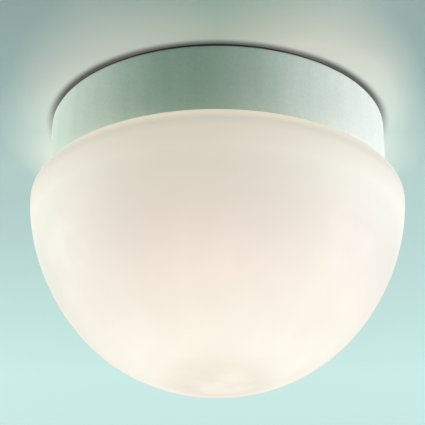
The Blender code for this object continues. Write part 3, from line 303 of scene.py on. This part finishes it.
def arc(centre, radius, start, end, steps):
    """Points on a circle from one angle in degrees to another."""
    points = []
    for step in range(steps + 1):
        angle = math.radians(start + (end - start) * step / steps)
        points.append((centre[0] + radius * math.cos(angle), centre[1] + radius * math.sin(angle)))
    return points


def polar(distance, angle, z):
    """The place at a distance from the axis and an angle in degrees, turned to face outwards."""
    bearing = math.radians(angle)
    place = (distance * math.cos(bearing), distance * math.sin(bearing), z)
    return Matrix.Translation(place) @ Matrix.Rotation(bearing, 4, "Z")


def bowl(radius, depth, steps):
    """Outline of the shade's bowl, from its lowest point on the axis to its widest circle."""
    points = [(0, WIDEST_Z - depth)]
    for step in range(1, steps + 1):
        angle = math.pi / 2 * (1 - step / steps)
        reach = radius * math.cos(angle) ** (2 / DOME_RADIAL_POWER)
        drop = depth * max(0, math.sin(angle)) ** (2 / DOME_AXIAL_POWER)
        points.append((reach, WIDEST_Z - drop))
    return points


def settle(piece):
    """Applies a piece's modifiers."""
    solved = piece.evaluated_get(bpy.context.evaluated_depsgraph_get())
    mesh = bpy.data.meshes.new_from_object(solved)
    piece.modifiers.clear()
    piece.data = mesh


def cut(piece, cutters):
    """Cuts shapes out of a piece and deletes them."""
    for cutter in cutters:
        step = piece.modifiers.new(cutter.name, "BOOLEAN")
        step.solver = "EXACT"
        step.object = cutter
    settle(piece)
    for cutter in cutters:
        bpy.data.objects.remove(cutter, do_unlink=True)
    piece.data.set_sharp_from_angle(angle=math.radians(SHARP_ANGLE))


def refined(name):
    """A piece on a CAD node's own shape, with its facets shaded smooth and its edges softened."""
    shape = bmesh.new()
    shape.from_mesh(frame["nodes"][name].data)
    bmesh.ops.remove_doubles(shape, verts=shape.verts, dist=WELD_DISTANCE)
    flat = math.radians(FLAT_ANGLE)
    bmesh.ops.dissolve_limit(shape, angle_limit=flat, verts=shape.verts, edges=shape.edges)
    piece = add_mesh(f"{name}_fine", shape)
    soft = piece.modifiers.new("soft edges", "BEVEL")
    soft.width = EDGE_BEVEL
    soft.segments = EDGE_SEGMENTS
    soft.limit_method = "ANGLE"
    soft.angle_limit = math.radians(SHARP_ANGLE)
    soft.harden_normals = True
    settle(piece)
    return piece


# Finishes

class Nodes:
    """Short ways to add the nodes of a tree and to join them."""

    def __init__(self, tree):
        self.tree = tree

    def node(self, kind, inputs=None, **settings):
        made = self.tree.nodes.new(kind)
        for key, value in settings.items():
            setattr(made, key, value)
        for key, value in (inputs or {}).items():
            self.feed(made.inputs[key], value)
        return made

    def feed(self, socket, value):
        if isinstance(value, bpy.types.NodeSocket):
            self.tree.links.new(value, socket)
        else:
            socket.default_value = value

    def place(self, stretch=None):
        """The place on the object, with each axis scaled by a stretch if given."""
        spot = self.node("ShaderNodeTexCoord").outputs["Object"]
        if stretch:
            spot = self.node("ShaderNodeVectorMath", {0: spot, 1: stretch}, operation="MULTIPLY").outputs[0]
        return spot

    def xyz(self):
        return self.node("ShaderNodeSeparateXYZ", {0: self.place()}).outputs

    def lean(self):
        """0 on upright faces and 1 on level ones."""
        normal = self.node("ShaderNodeTexCoord").outputs["Normal"]
        return self.math("ABSOLUTE", self.node("ShaderNodeSeparateXYZ", {0: normal}).outputs[2])

    def math(self, operation, *values):
        return self.node("ShaderNodeMath", dict(enumerate(values)), operation=operation).outputs[0]

    def noise(self, scale, detail=2.0, roughness=0.5, stretch=None, vector=None):
        vector = vector or self.place(stretch)
        inputs = {"Scale": scale, "Detail": detail, "Roughness": roughness, "Vector": vector}
        return self.node("ShaderNodeTexNoise", inputs).outputs["Fac"]

    def cloud(self, scale, stretch=None):
        """Soft patches of a noise."""
        return self.noise(scale, 3.0, 0.55, stretch)

    def cells(self, scale):
        inputs = {"Scale": scale, "Vector": self.place()}
        return self.node("ShaderNodeTexVoronoi", inputs).outputs["Distance"]

    def fit(self, value, low, high, out_low, out_high, smooth=False):
        """Maps the span from low to high onto another, and holds its ends beyond it."""
        made = self.node("ShaderNodeMapRange", interpolation_type="SMOOTHSTEP" if smooth else "LINEAR")
        for index, number in enumerate((value, low, high, out_low, out_high)):
            self.feed(made.inputs[index], number)
        return made.outputs[0]

    def spread(self, noise, low, high):
        """Spreads a noise over a span of values."""
        return self.fit(noise, *NOISE_SPAN, low, high)

    def ramp(self, value, stops):
        made = self.node("ShaderNodeValToRGB", {"Fac": value})
        elements = made.color_ramp.elements
        while len(elements) < len(stops):
            elements.new(1.0)
        for element, (spot, colour) in zip(elements, stops):
            element.position = spot
            element.color = colour
        return made.outputs["Color"]

    def mix(self, share, first, second, blend="MIX"):
        inputs = {0: share, 6: first, 7: second}
        return self.node("ShaderNodeMix", inputs, data_type="RGBA", blend_type=blend).outputs[2]

    def seen_share(self):
        """1 for rays from the camera and for reflections and refractions, 0 for the light on other things."""
        rays = self.node("ShaderNodeLightPath").outputs
        bent = self.math("MAXIMUM", rays["Is Glossy Ray"], rays["Is Transmission Ray"])
        return self.math("MAXIMUM", rays["Is Camera Ray"], bent)


class Finish(Nodes):
    """A material and its shader."""

    def __init__(self, name):
        self.material = bpy.data.materials.new(name)
        self.material.use_nodes = True
        super().__init__(self.material.node_tree)
        self.shader = self.tree.nodes["Principled BSDF"]

    def set(self, **values):
        """Sets the shader's inputs, named with underscores for their spaces."""
        for key, value in values.items():
            self.feed(self.shader.inputs[key.replace("_", " ")], value)
        return self

    def bump(self, height, distance):
        grain = self.node("ShaderNodeBump", {"Height": height, "Distance": distance})
        return self.set(Normal=grain.outputs[0])

    def clear_behind(self):
        """Makes the back of each face fully clear."""
        clear = self.node("ShaderNodeBsdfTransparent").outputs[0]
        behind = self.node("ShaderNodeNewGeometry").outputs["Backfacing"]
        both = self.node("ShaderNodeMixShader", {0: behind, 1: self.shader.outputs[0], 2: clear}).outputs[0]
        self.feed(self.tree.nodes["Material Output"].inputs["Surface"], both)
        return self


def surface(name, tones, patches, rough, grain=None, depth=0.0, metallic=0.0, stretch=None, **more):
    """A finish of two close tones in soft patches, with a range of roughness and a fine grain."""
    finish = Finish(name)
    cloud = finish.cloud(patches, stretch)
    first, second = (srgb(*tone) for tone in tones)
    finish.set(Base_Color=finish.mix(finish.spread(cloud, 0.0, 1.0), first, second))
    finish.set(Roughness=finish.spread(cloud, *rough), Metallic=metallic, **more)
    if grain:
        finish.bump(finish.noise(grain, stretch=stretch), depth)
    return finish


def satin_paint():
    """Pale paint on pressed steel, with darker upright streaks on its walls, painted to stand for streaked
    reflections, and a fine orange peel.
    """
    finish = Finish("satin paint")
    x, y, z = finish.xyz()[:3]
    around = finish.math("ARCTAN2", y, x)
    upright = finish.node("ShaderNodeCombineXYZ", {0: around, 1: finish.math("MULTIPLY", z, 1.5)}).outputs[0]
    # Painted reflection: darker upright streaks on the walls stand for the streaked reflections of a satin
    # finish.
    painted_streak = finish.noise(7.0, detail=3.0, roughness=0.6, vector=upright)
    cloud = finish.cloud(24.0)
    colour = finish.mix(cloud, srgb(226, 239, 231), srgb(235, 245, 238))
    wall = finish.fit(finish.lean(), 0.2, 0.6, 1.0, 0.0)
    painted_streak = finish.math("MULTIPLY", wall, finish.fit(painted_streak, 0.35, 0.65, 0.0, 0.5))
    colour = finish.mix(painted_streak, colour, srgb(213, 229, 219))
    speck = finish.fit(finish.noise(520.0, roughness=0.6), 0.4, 0.6, 0.0, 0.18)
    colour = finish.mix(speck, colour, srgb(206, 214, 208))
    finish.set(Base_Color=colour, Roughness=finish.spread(cloud, 0.45, 0.58), Specular_IOR_Level=0.3)
    return finish.bump(finish.noise(700.0), 0.00003)


def opal_glow(finish, x, height):
    """The painted glow of the opal glass: brightest low down, dimmer and warmer by the lamp's holder, with a
    painted reflection band at its shoulder, uneven upright streaks, painted shade on its left side, painted
    highlights at its foot and darker painted shade at its outline.
    """
    # Near the shoulder, a darker band and then a paler one are painted reflections.
    glow = finish.ramp(height, [
        (0.0, srgb(235, 219, 203)),
        (0.05, srgb(248, 238, 223)),
        (0.09, srgb(249, 239, 224)),
        (0.3, srgb(243, 227, 212)),
        (0.5, srgb(226, 209, 195)),
        (0.72, srgb(209, 197, 181)),
        (0.89, srgb(207, 194, 178)),
        (0.93, srgb(195, 186, 170)),
        (0.96, srgb(215, 201, 180)),
    ])
    # Uneven painted glow in soft upright streaks.
    painted_streak = finish.cloud(34.0, (1.0, 1.0, 0.15))
    glow = finish.mix(finish.fit(painted_streak, 0.35, 0.65, 0.0, STREAK_SHARE), glow, srgb(222, 198, 184))
    # Painted shade on the glass's left side, between its foot and its upper part.
    dim = finish.fit(x, *DIM_X_SPAN, DIM_SHARE, 0.0)
    dim = finish.math("MULTIPLY", dim, finish.fit(height, *DIM_TOP_SPAN, 1.0, 0.0))
    dim = finish.math("MULTIPLY", dim, finish.fit(height, *DIM_FOOT_SPAN, 0.0, 1.0))
    glow = finish.mix(dim, glow, srgb(186, 184, 174))
    # Painted highlights: bright patches low on the glass, at its foot.
    low = finish.fit(height, 0.0, FOOT_HEIGHT_SHARE, 1.0, 0.0, smooth=True)
    patch = finish.fit(finish.noise(30.0), 0.4, 0.7, 0.0, FOOT_HIGHLIGHT_SHARE, smooth=True)
    glow = finish.mix(finish.math("MULTIPLY", low, patch), glow, srgb(250, 242, 224))
    # Painted shade: a darker, warmer tone where the glass turns away at its outline.
    facing = finish.node("ShaderNodeLayerWeight", {"Blend": 0.5}).outputs["Facing"]
    rim = finish.fit(facing, 0.5, 1.0, 0.0, OUTLINE_SHADE_SHARE, smooth=True)
    return finish.mix(rim, glow, srgb(204, 182, 168))


def opal_glass():
    """Opal glass with a painted glow, as if lit from inside. Height is 0 at its lowest point and 1 at its
    shoulder's top.
    """
    finish = Finish("opal glass")
    x, _, z = finish.xyz()[:3]
    height = finish.fit(z, GLASS_BOTTOM, SHOULDER_TOP, 0.0, 1.0)
    # Painted shade: a dark grey-blue base colour, darkest low down and palest just below the shoulder, so
    # that the lamps add little over the painted glow.
    body = finish.ramp(height, [
        (0.25, srgb(64, 94, 100)),
        (0.45, srgb(74, 103, 110)),
        (0.6, srgb(94, 119, 124)),
        (0.8, srgb(136, 154, 158)),
        (0.95, srgb(122, 134, 136)),
    ])
    rough = finish.spread(finish.cloud(60.0), 0.5, 0.6)
    finish.set(Base_Color=body, Roughness=rough, Specular_IOR_Level=0.4)
    finish.set(Emission_Color=opal_glow(finish, x, height), Emission_Strength=1.0)
    return finish.bump(finish.noise(260.0), 0.00004)


# Its dark tone is partly the foam's own and partly painted shadow along the line where the housing meets the
# ceiling.
def seal_foam():
    finish = surface("seal foam", ((66, 68, 62), (84, 86, 78)), 120.0, (0.85, 0.98))
    return finish.bump(finish.cells(900.0), 0.0003)


def earth_sleeve():
    """Green insulation with a yellow stripe along its upper and lower side."""
    finish = Finish("green and yellow sleeve")
    stripe = finish.fit(finish.lean(), 0.62, 0.68, 0.0, 1.0, smooth=True)
    finish.set(Base_Color=finish.mix(stripe, srgb(38, 122, 52), srgb(226, 200, 40)), Roughness=0.42)
    return finish.bump(finish.noise(400.0), 0.00002)


def frosted_glass():
    """The lit lamp: frosted glass, brightest round its filament."""
    finish = Finish("frosted glass")
    z = finish.xyz()[2]
    glow = finish.ramp(finish.fit(z, *LAMP_GLOW_HEIGHTS, 0.0, 1.0), [
        (0.0, srgb(252, 232, 196)),
        (0.35, srgb(255, 244, 218)),
        (0.7, srgb(246, 214, 164)),
        (1.0, srgb(196, 150, 98)),
    ])
    finish.set(Base_Color=srgb(120, 118, 112), Roughness=finish.spread(finish.cloud(90.0), 0.35, 0.5))
    finish.set(Emission_Color=glow, Emission_Strength=0.9)
    return finish.bump(finish.noise(500.0), 0.00003)


def tungsten():
    finish = surface("tungsten", ((84, 82, 80), (104, 100, 96)), 300.0, (0.35, 0.5), metallic=1.0)
    return finish.set(Emission_Color=srgb(255, 206, 130), Emission_Strength=3.0)


# For each plain finish: its two tones, its patches per metre, its range of roughness, its grain per
# metre and how deep the grain is, and what else it has
PLAIN_FINISHES = {
    "zinc plated steel": (
        ((172, 177, 182), (204, 205, 198)), 90.0, (0.3, 0.48), 700.0, 0.00003, {"metallic": 1.0}),
    "nickel plate": (
        ((204, 200, 190), (220, 216, 206)), 140.0, (0.18, 0.3), 900.0, 0.00001, {"metallic": 1.0}),
    "grommet rubber": (
        ((30, 31, 32), (42, 42, 41)), 160.0, (0.55, 0.75), 600.0, 0.00004, {}),
    "terminal nylon": (
        ((232, 229, 216), (222, 219, 205)), 110.0, (0.38, 0.5), 500.0, 0.00003,
        {"Subsurface_Weight": 0.15, "Subsurface_Scale": 0.002}),
    "brass": (
        ((222, 184, 112), (190, 150, 88)), 130.0, (0.24, 0.4), 800.0, 0.00002, {"metallic": 1.0}),
    "brown sleeve": (
        ((96, 56, 32), (112, 68, 40)), 150.0, (0.36, 0.48), 400.0, 0.00002, {}),
    "blue sleeve": (
        ((30, 88, 166), (44, 104, 182)), 150.0, (0.36, 0.48), 400.0, 0.00002, {}),
    "porcelain": (
        ((240, 237, 228), (229, 225, 213)), 45.0, (0.1, 0.2), 120.0, 0.00006, {"Coat_Weight": 0.5}),
    "spring steel": (
        ((146, 152, 162), (182, 184, 186)), 160.0, (0.22, 0.36), 900.0, 0.00003,
        {"metallic": 1.0, "stretch": (1.0, 1.0, 0.1)}),
    "silicone": (
        ((218, 216, 208), (206, 205, 197)), 100.0, (0.5, 0.65), 500.0, 0.00003, {}),
    "lamp cap metal": (
        ((196, 197, 197), (214, 214, 212)), 120.0, (0.22, 0.38), 900.0, 0.00003,
        {"metallic": 1.0, "stretch": (1.0, 1.0, 4.0)}),
    "black glass": (
        ((14, 14, 18), (26, 26, 30)), 80.0, (0.05, 0.12), 300.0, 0.00002, {}),
    "stem glass": (
        ((228, 234, 234), (216, 224, 226)), 90.0, (0.04, 0.1), None, 0.0, {"Alpha": 0.4}),
}
finishes = {
    "satin paint": satin_paint(),
    "opal glass": opal_glass(),
    "seal foam": seal_foam(),
    "green and yellow sleeve": earth_sleeve(),
    "frosted glass": frosted_glass(),
    "tungsten": tungsten(),
}
for name, (*values, more) in PLAIN_FINISHES.items():
    finishes[name] = surface(name, *values, **more)

slot_of = {part["node"]: part["material_slot"] for part in frame["record"]["subparts"]}
body_of = {}
for body, parts in frame["record"]["behaviour"]["bodies"].items():
    for node in parts:
        body_of[node] = body


def dress(piece, node):
    """Puts a piece on a CAD node's body in its place, in the finish of its slot."""
    piece.data.materials.clear()
    piece.data.materials.append(finishes[slot_of[node]].material)
    for face in piece.data.polygons:
        face.material_index = 0
    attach(piece, body_of[node])
    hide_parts(node)


# Housing

def round_cutter(name, radius, frame_at, reach=HOLE_REACH):
    outline = [(0, -reach), (radius, -reach), (radius, reach), (0, reach)]
    cutter = lathe(name, outline, HOLE_STEPS)
    cutter.matrix_world = frame_at
    return cutter


def long_cutter(name, place):
    """A cutter for a round-ended hole along x."""
    ends = arc((SCREW_HOLE_SHIFT, 0), SCREW_HOLE_WIDTH / 2, -90, 90, HOLE_STEPS // 2)
    ends += arc((-SCREW_HOLE_SHIFT, 0), SCREW_HOLE_WIDTH / 2, 90, 270, HOLE_STEPS // 2)
    shape = bmesh.new()
    top = [shape.verts.new((x, y, HOLE_REACH)) for x, y in ends]
    under = [shape.verts.new((x, y, -HOLE_REACH)) for x, y in ends]
    bridge(shape, top, under)
    shape.faces.new(top)
    shape.faces.new(under)
    cutter = add_mesh(name, shape)
    cutter.location = (place, 0, BACK_UNDER)
    return cutter


def drum_shell():
    """The pressed cup with its rounded back edge and its hemmed rim, and the holes in its back."""
    corner = (DRUM_RADIUS - DRUM_CORNER, BACK_TOP - DRUM_CORNER)
    outline = [(0, BACK_TOP)]
    outline += arc(corner, DRUM_CORNER, 90, 0, CORNER_STEPS)
    outline += arc((DRUM_RADIUS - DRUM_WALL, RIM_Z + DRUM_WALL), DRUM_WALL, 0, -180, HEM_STEPS)
    outline += [(HEM_RADIUS, RIM_Z + HEM_DEPTH), (DRUM_RADIUS - DRUM_WALL, RIM_Z + HEM_DEPTH)]
    outline += arc(corner, DRUM_CORNER - DRUM_WALL, 0, 90, EDGE_STEPS)
    outline += [(0, BACK_UNDER)]
    drum = lathe("drum_shell", outline)
    cutters = []
    for side in (-1, 1):
        cutters.append(long_cutter(f"long_hole_{side}", side * SCREW_HOLE_OFFSET))
        stud = Matrix.Translation((side * STUD_OFFSET, 0, BACK_UNDER))
        cutters.append(round_cutter(f"stud_hole_{side}", STUD_HOLE_RADIUS, stud))
        screw = Matrix.Translation((0, side * BRACKET_SCREW_OFFSET, BACK_UNDER))
        cutters.append(round_cutter(f"screw_hole_{side}", SMALL_HOLE_RADIUS, screw))
    cable = polar(CABLE_HOLE_OFFSET, CABLE_HOLE_ANGLE, BACK_UNDER)
    cutters.append(round_cutter("cable_hole", CABLE_HOLE_RADIUS, cable))
    earth = polar(EARTH_STUD_OFFSET, EARTH_STUD_ANGLE, BACK_UNDER)
    cutters.append(round_cutter("earth_hole", STUD_HOLE_RADIUS, earth))
    for angle in CLIP_ANGLES:
        rivet = polar(CLIP_RIVET_OFFSET, angle, BACK_UNDER)
        cutters.append(round_cutter(f"clip_hole_{angle}", SMALL_HOLE_RADIUS, rivet))
    block = polar(BLOCK_OFFSET, BLOCK_ANGLE, BACK_UNDER) @ Matrix.Rotation(math.radians(-90), 4, "Z")
    block_screw = block @ Matrix.Translation((0, BLOCK_SCREW_SHIFT, 0))
    cutters.append(round_cutter("block_hole", SMALL_HOLE_RADIUS, block_screw))
    cut(drum, cutters)
    return drum


def foam_seal():
    """The foam ring, squeezed so that its sides bulge a little."""
    middle = -SEAL_HEIGHT / 2
    outer_edge = SEAL_OUTER - SEAL_BULGE
    inner_edge = SEAL_INNER + SEAL_BULGE
    outline = [(outer_edge, 0), (SEAL_OUTER, middle), (outer_edge, -SEAL_HEIGHT)]
    outline += [(inner_edge, -SEAL_HEIGHT), (SEAL_INNER, middle), (inner_edge, 0)]
    return lathe("foam_seal", outline)


# Shade

def opal_shade():
    """The glass shade with its rounded shoulder, and its neck with the bead that the clips catch."""
    shoulder = (GLASS_RADIUS - SHOULDER_RADIUS, WIDEST_Z)
    fillet = (NECK_RADIUS + NECK_FILLET, SHOULDER_TOP + NECK_FILLET)
    outline = bowl(GLASS_RADIUS, DOME_DEPTH, BOWL_STEPS)
    outline += arc(shoulder, SHOULDER_RADIUS, 0, 90, SHOULDER_STEPS)[1:]
    outline += arc(fillet, NECK_FILLET, 270, 180, EDGE_STEPS)
    outline += arc((NECK_RADIUS, BEAD_Z), BEAD_RADIUS, -90, 90, BEAD_STEPS)
    outline += [(NECK_RADIUS - GLASS_WALL, NECK_TOP)]
    outline += arc(fillet, NECK_FILLET + GLASS_WALL, 180, 270, EDGE_STEPS)
    outline += arc(shoulder, SHOULDER_RADIUS - GLASS_WALL, 90, 0, SHOULDER_INNER_STEPS)
    outline += reversed(bowl(GLASS_RADIUS - GLASS_WALL, DOME_DEPTH - GLASS_WALL, BOWL_INNER_STEPS)[:-1])
    return lathe("opal_shade", outline)


def silicone_ring():
    """The flat ring between shade and housing, with a rounded outer edge and a lip inside the rim."""
    top = RIM_Z - SEAT_GAP
    under = SHOULDER_TOP + SEAT_GAP
    edge = (top - under) / 2
    outline = arc((RING_OUTER - edge, under + edge), edge, 90, -90, CORNER_STEPS)
    outline += [(RING_INNER, under), (RING_INNER, top), (RING_LIP - RING_LIP_WALL, top)]
    crest = (RING_LIP - RING_LIP_WALL / 2, RIM_Z + RING_LIP_HEIGHT - RING_LIP_WALL / 2)
    outline += arc(crest, RING_LIP_WALL / 2, 180, 0, CORNER_STEPS)
    outline += [(RING_LIP, top)]
    return lathe("silicone_ring", outline)


# Lamp and lampholder

def porcelain_holder():
    """The lampholder's body, with rounded edges and the holes for its screws and its contact's rivet."""
    edge = HOLDER_EDGE
    outline = [(0, HOLDER_TOP)]
    outline += arc((HOLDER_RADIUS - edge, HOLDER_TOP - edge), edge, 90, 0, EDGE_STEPS)
    outline += arc((HOLDER_RADIUS - edge, CAVITY_TOP + edge), edge, 0, -90, EDGE_STEPS)
    outline += [(HOLDER_SKIRT_RADIUS, CAVITY_TOP)]
    outline += arc((HOLDER_SKIRT_RADIUS - edge, HOLDER_RIM + edge), edge, 0, -90, EDGE_STEPS)
    outline += arc((CAVITY_RADIUS + edge, HOLDER_RIM + edge), edge, -90, -180, EDGE_STEPS)
    outline += [(CAVITY_RADIUS, CAVITY_TOP), (0, CAVITY_TOP)]
    holder = lathe("porcelain_holder", outline)
    cutters = []
    for side in (-1, 1):
        screw = Matrix.Translation((0, side * HOLDER_SCREW_OFFSET, HOLDER_TOP))
        cutters.append(round_cutter(f"holder_hole_{side}", SMALL_HOLE_RADIUS, screw, HOLDER_SCREW_REACH))
    rivet = Matrix.Translation((-CONTACT_RIVET_OFFSET, 0, CAVITY_TOP))
    reach = HOLDER_TOP - CAVITY_TOP + DRUM_WALL
    cutters.append(round_cutter("rivet_hole", CONTACT_HOLE_RADIUS, rivet, reach))
    cut(holder, cutters)
    return holder


def lamp_glass():
    """The lamp's globe, which flares into its neck."""
    reach = LAMP_NECK_RADIUS + LAMP_FLARE_RADIUS
    rise = math.sqrt((LAMP_RADIUS + LAMP_FLARE_RADIUS) ** 2 - reach ** 2)
    lean = math.degrees(math.atan2(rise, reach))
    centre = (0, LAMP_CENTRE)
    flare = (reach, LAMP_CENTRE + rise)
    outline = [(0, LAMP_CENTRE - LAMP_RADIUS)]
    outline += arc(centre, LAMP_RADIUS, -90, lean, GLOBE_STEPS)[1:]
    outline += arc(flare, LAMP_FLARE_RADIUS, 180 + lean, 180, FLARE_STEPS)[1:]
    outline += [(LAMP_NECK_RADIUS, LAMP_NECK_TOP), (LAMP_NECK_RADIUS - LAMP_WALL, LAMP_NECK_TOP)]
    outline += arc(flare, LAMP_FLARE_RADIUS + LAMP_WALL, 180, 180 + lean, FLARE_STEPS)
    outline += arc(centre, LAMP_RADIUS - LAMP_WALL, lean, -90, GLOBE_STEPS)[1:-1]
    outline += [(0, LAMP_CENTRE - LAMP_RADIUS + LAMP_WALL)]
    return lathe("lamp_glass", outline)


REBUILT = {
    "drum_housing": drum_shell,
    "ceiling_seal": foam_seal,
    "glass_shade": opal_shade,
    "shade_ring": silicone_ring,
    "lampholder_body": porcelain_holder,
    "lamp_envelope": lamp_glass,
}
for node, build in REBUILT.items():
    dress(build(), node)
for node in sorted(frame["nodes"]):
    if node not in REBUILT:
        dress(refined(node), node)


# Ceiling, lamps and camera

def halo(finish, radius, east, north):
    """The glow round the light, strongest and widest at the diagonals. East and north make a bearing."""
    slant = finish.math("ABSOLUTE", east)
    wide = finish.fit(slant, 0.0, HALO_WIDE_EAST, HALO_FRONT_REACH, HALO_WIDE_REACH)
    change = finish.fit(slant, HALO_WIDE_EAST, HALO_SIDE_EAST, 0.0, HALO_SIDE_CHANGE)
    fade = finish.fit(radius, HALO_START, finish.math("ADD", wide, change), HALO_PEAK_SHARE, 0.0)
    side = finish.math("MULTIPLY", east, east)
    flank = finish.math("MULTIPLY_ADD", side, HALO_FLANK_SHARE, HALO_FLOOR_SHARE)
    quarter = finish.math("MULTIPLY", east, north)
    lobes = finish.math("MULTIPLY_ADD", finish.math("ABSOLUTE", quarter), HALO_LOBE_SHARE, flank)
    tilt = finish.math("MULTIPLY_ADD", quarter, HALO_TILT_SHARE, HALO_LEVEL_SHARE)
    return finish.math("MULTIPLY", finish.math("MULTIPLY", lobes, tilt), fade)


def contact_light(finish, radius, north):
    """1 on the open ceiling, and less in the thin dark line beside the light, which fades behind it."""
    edge = finish.fit(north, *CONTACT_FRONT_NORTH, CONTACT_FRONT_RADIUS, CONTACT_RADIUS)
    front = finish.fit(north, *CONTACT_FRONT_NORTH, CONTACT_FRONT_SHARE, CONTACT_SHARE)
    back = finish.fit(north, *CONTACT_BACK_NORTH, 0.0, CONTACT_BACK_SHARE, smooth=True)
    left = finish.math("ADD", front, back)
    return finish.fit(radius, edge, finish.math("ADD", edge, CONTACT_WIDTH), left, 1.0, smooth=True)


def ceiling_finish():
    """Matt ceiling that pales away from the viewer, with painted glow, painted casts and a thin painted
    shadow round the light.
    """
    finish = Finish("ceiling")
    x, y = finish.xyz()[:2]
    squares = [finish.math("MULTIPLY", value, value) for value in (x, y)]
    radius = finish.math("SQRT", finish.math("ADD", *squares))
    east, north = (finish.math("DIVIDE", value, radius) for value in (x, y))
    glow = finish.ramp(finish.fit(y, *CEILING_TONE_SPAN, 0.0, 1.0), [
        (0.057, srgb(106, 102, 115)),
        (0.257, srgb(133, 142, 154)),
        (0.36, srgb(157, 166, 173)),
        (0.514, srgb(160, 175, 180)),
        (1.0, srgb(187, 209, 210)),
    ])
    glow = finish.mix(halo(finish, radius, east, north), glow, srgb(146, 118, 98), "ADD")
    # A painted pool of light in front of the light, a little to the right.
    corner = finish.node(
        "ShaderNodeVectorMath", {0: finish.place(), 1: CORNER_GLOW_PLACE}, operation="DISTANCE")
    corner = finish.fit(corner.outputs["Value"], 0.0, CORNER_GLOW_RADIUS, 1.0, 0.0, smooth=True)
    glow = finish.mix(corner, glow, srgb(76, 76, 72), "ADD")
    # Painted shade: a cooler, darker patch to the right of the light.
    cool_shade = finish.fit(x, *COOL_SHADE_X_SPAN, 0.0, 1.0)
    cool_shade = finish.math("MULTIPLY", cool_shade, finish.fit(y, *COOL_SHADE_BACK_SPAN, 1.0, 0.0))
    cool_shade = finish.math("MULTIPLY", cool_shade, finish.fit(y, *COOL_SHADE_FRONT_SPAN, 0.0, 1.0))
    glow = finish.mix(cool_shade, glow, srgb(224, 232, 238), "MULTIPLY")
    # Painted light: a warm cast on the ceiling in front of the light.
    warm_light = finish.fit(finish.math("ABSOLUTE", x), 0.0, WARM_LIGHT_HALF_WIDTH, 1.0, 0.0, smooth=True)
    warm_light = finish.math("MULTIPLY", warm_light, finish.fit(y, *WARM_LIGHT_Y_SPAN, 1.0, 0.0, smooth=True))
    glow = finish.mix(warm_light, glow, srgb(254, 247, 227), "MULTIPLY")
    contact = contact_light(finish, radius, north)
    # Painted shade: the base colour darkens towards the sides, where the lamps come close.
    lit = finish.fit(finish.math("ABSOLUTE", x), *CEILING_LIT_SPAN, 1.0, 0.0, smooth=True)
    base = finish.mix(lit, srgb(40, 54, 50), srgb(134, 178, 162))
    finish.set(Base_Color=finish.mix(contact, BLACK, base), Roughness=0.9)
    finish.set(Emission_Color=finish.mix(contact, BLACK, glow), Emission_Strength=finish.seen_share())
    return finish.clear_behind()


def ceiling():
    """A ring that faces down, from under the foam seal outwards, so the light's back shows from above."""
    shape = bmesh.new()
    inner = ring_of(shape, CEILING_INNER, 0, FINE_STEPS)
    outer = ring_of(shape, CEILING_OUTER, 0, FINE_STEPS)
    bridge(shape, inner, outer)
    plane = add_mesh("ceiling", shape)
    if plane.data.polygons[0].normal.z > 0:
        plane.data.flip_normals()
    plane.data.materials.append(ceiling_finish().material)


def ceiling_patch():
    """The ceiling behind the strap's slots. Only the camera meets it, so the light's back stays lit."""
    shape = bmesh.new()
    shape.faces.new(ring_of(shape, PATCH_RADIUS, SEAT_GAP, FINE_STEPS))
    patch = add_mesh("ceiling_patch", shape)
    if patch.data.polygons[0].normal.z > 0:
        patch.data.flip_normals()
    tones = ((150, 158, 152), (142, 150, 144))
    finish = surface("ceiling behind the strap", tones, 40.0, (0.85, 0.95), 300.0, 0.00005)
    patch.data.materials.append(finish.clear_behind().material)
    patch.visible_diffuse = False
    patch.visible_glossy = False
    patch.visible_transmission = False
    patch.visible_shadow = False


def lamp(name, place, power, colour):
    light = bpy.data.lights.new(name, "AREA")
    light.shape = "RECTANGLE"
    light.size, light.size_y = LAMP_SIZE
    light.energy = power
    light.color = colour[:3]
    stand = bpy.data.objects.new(name, light)
    stand.location = place
    stand.rotation_euler = (Vector(LAMP_AIM) - Vector(place)).to_track_quat("-Z", "Y").to_euler()
    stand.visible_camera = False
    bpy.context.scene.collection.objects.link(stand)


def world():
    """A dim room that is green ahead and behind, a pale sky, and the backdrop that the camera sees."""
    room = bpy.data.worlds.new("studio")
    room.use_nodes = True
    bpy.context.scene.world = room
    nodes = Nodes(room.node_tree)
    way = nodes.node("ShaderNodeTexCoord").outputs["Generated"]
    across, _, rise = nodes.node("ShaderNodeSeparateXYZ", {0: way}).outputs
    side = nodes.fit(nodes.math("ABSOLUTE", across), *SIDE_FILL_SPAN, 0.0, 1.0)
    light = nodes.mix(side, FRONT_FILL, SIDE_FILL)
    light = nodes.mix(nodes.fit(rise, *SKY_FILL_SPAN, 0.0, 1.0), light, SKY_FILL)
    shown = nodes.node("ShaderNodeBackground", {"Color": BACKDROP}).outputs[0]
    fill = nodes.node("ShaderNodeBackground", {"Color": light}).outputs[0]
    either = nodes.node("ShaderNodeMixShader", {0: nodes.seen_share(), 1: fill, 2: shown}).outputs[0]
    nodes.feed(room.node_tree.nodes["World Output"].inputs["Surface"], either)


def camera():
    data = bpy.data.cameras.new("camera")
    data.lens = CAMERA_LENS
    data.sensor_width = SENSOR_WIDTH
    eye = bpy.data.objects.new("camera", data)
    turn = Matrix.Rotation(math.radians(CAMERA_YAW), 4, "Z")
    tilt = Matrix.Rotation(math.radians(90 + CAMERA_PITCH), 4, "X")
    roll = Matrix.Rotation(math.radians(CAMERA_ROLL), 4, "Z")
    eye.matrix_world = Matrix.Translation(CAMERA_PLACE) @ turn @ tilt @ roll
    bpy.context.scene.collection.objects.link(eye)
    bpy.context.scene.camera = eye


ceiling()
ceiling_patch()
world()
camera()
lamp("left_lamp", LEFT_LAMP, LEFT_POWER, srgb(253, 249, 245))
lamp("right_lamp", RIGHT_LAMP, RIGHT_POWER, srgb(255, 243, 249))
bpy.context.scene.view_settings.view_transform = "Standard"
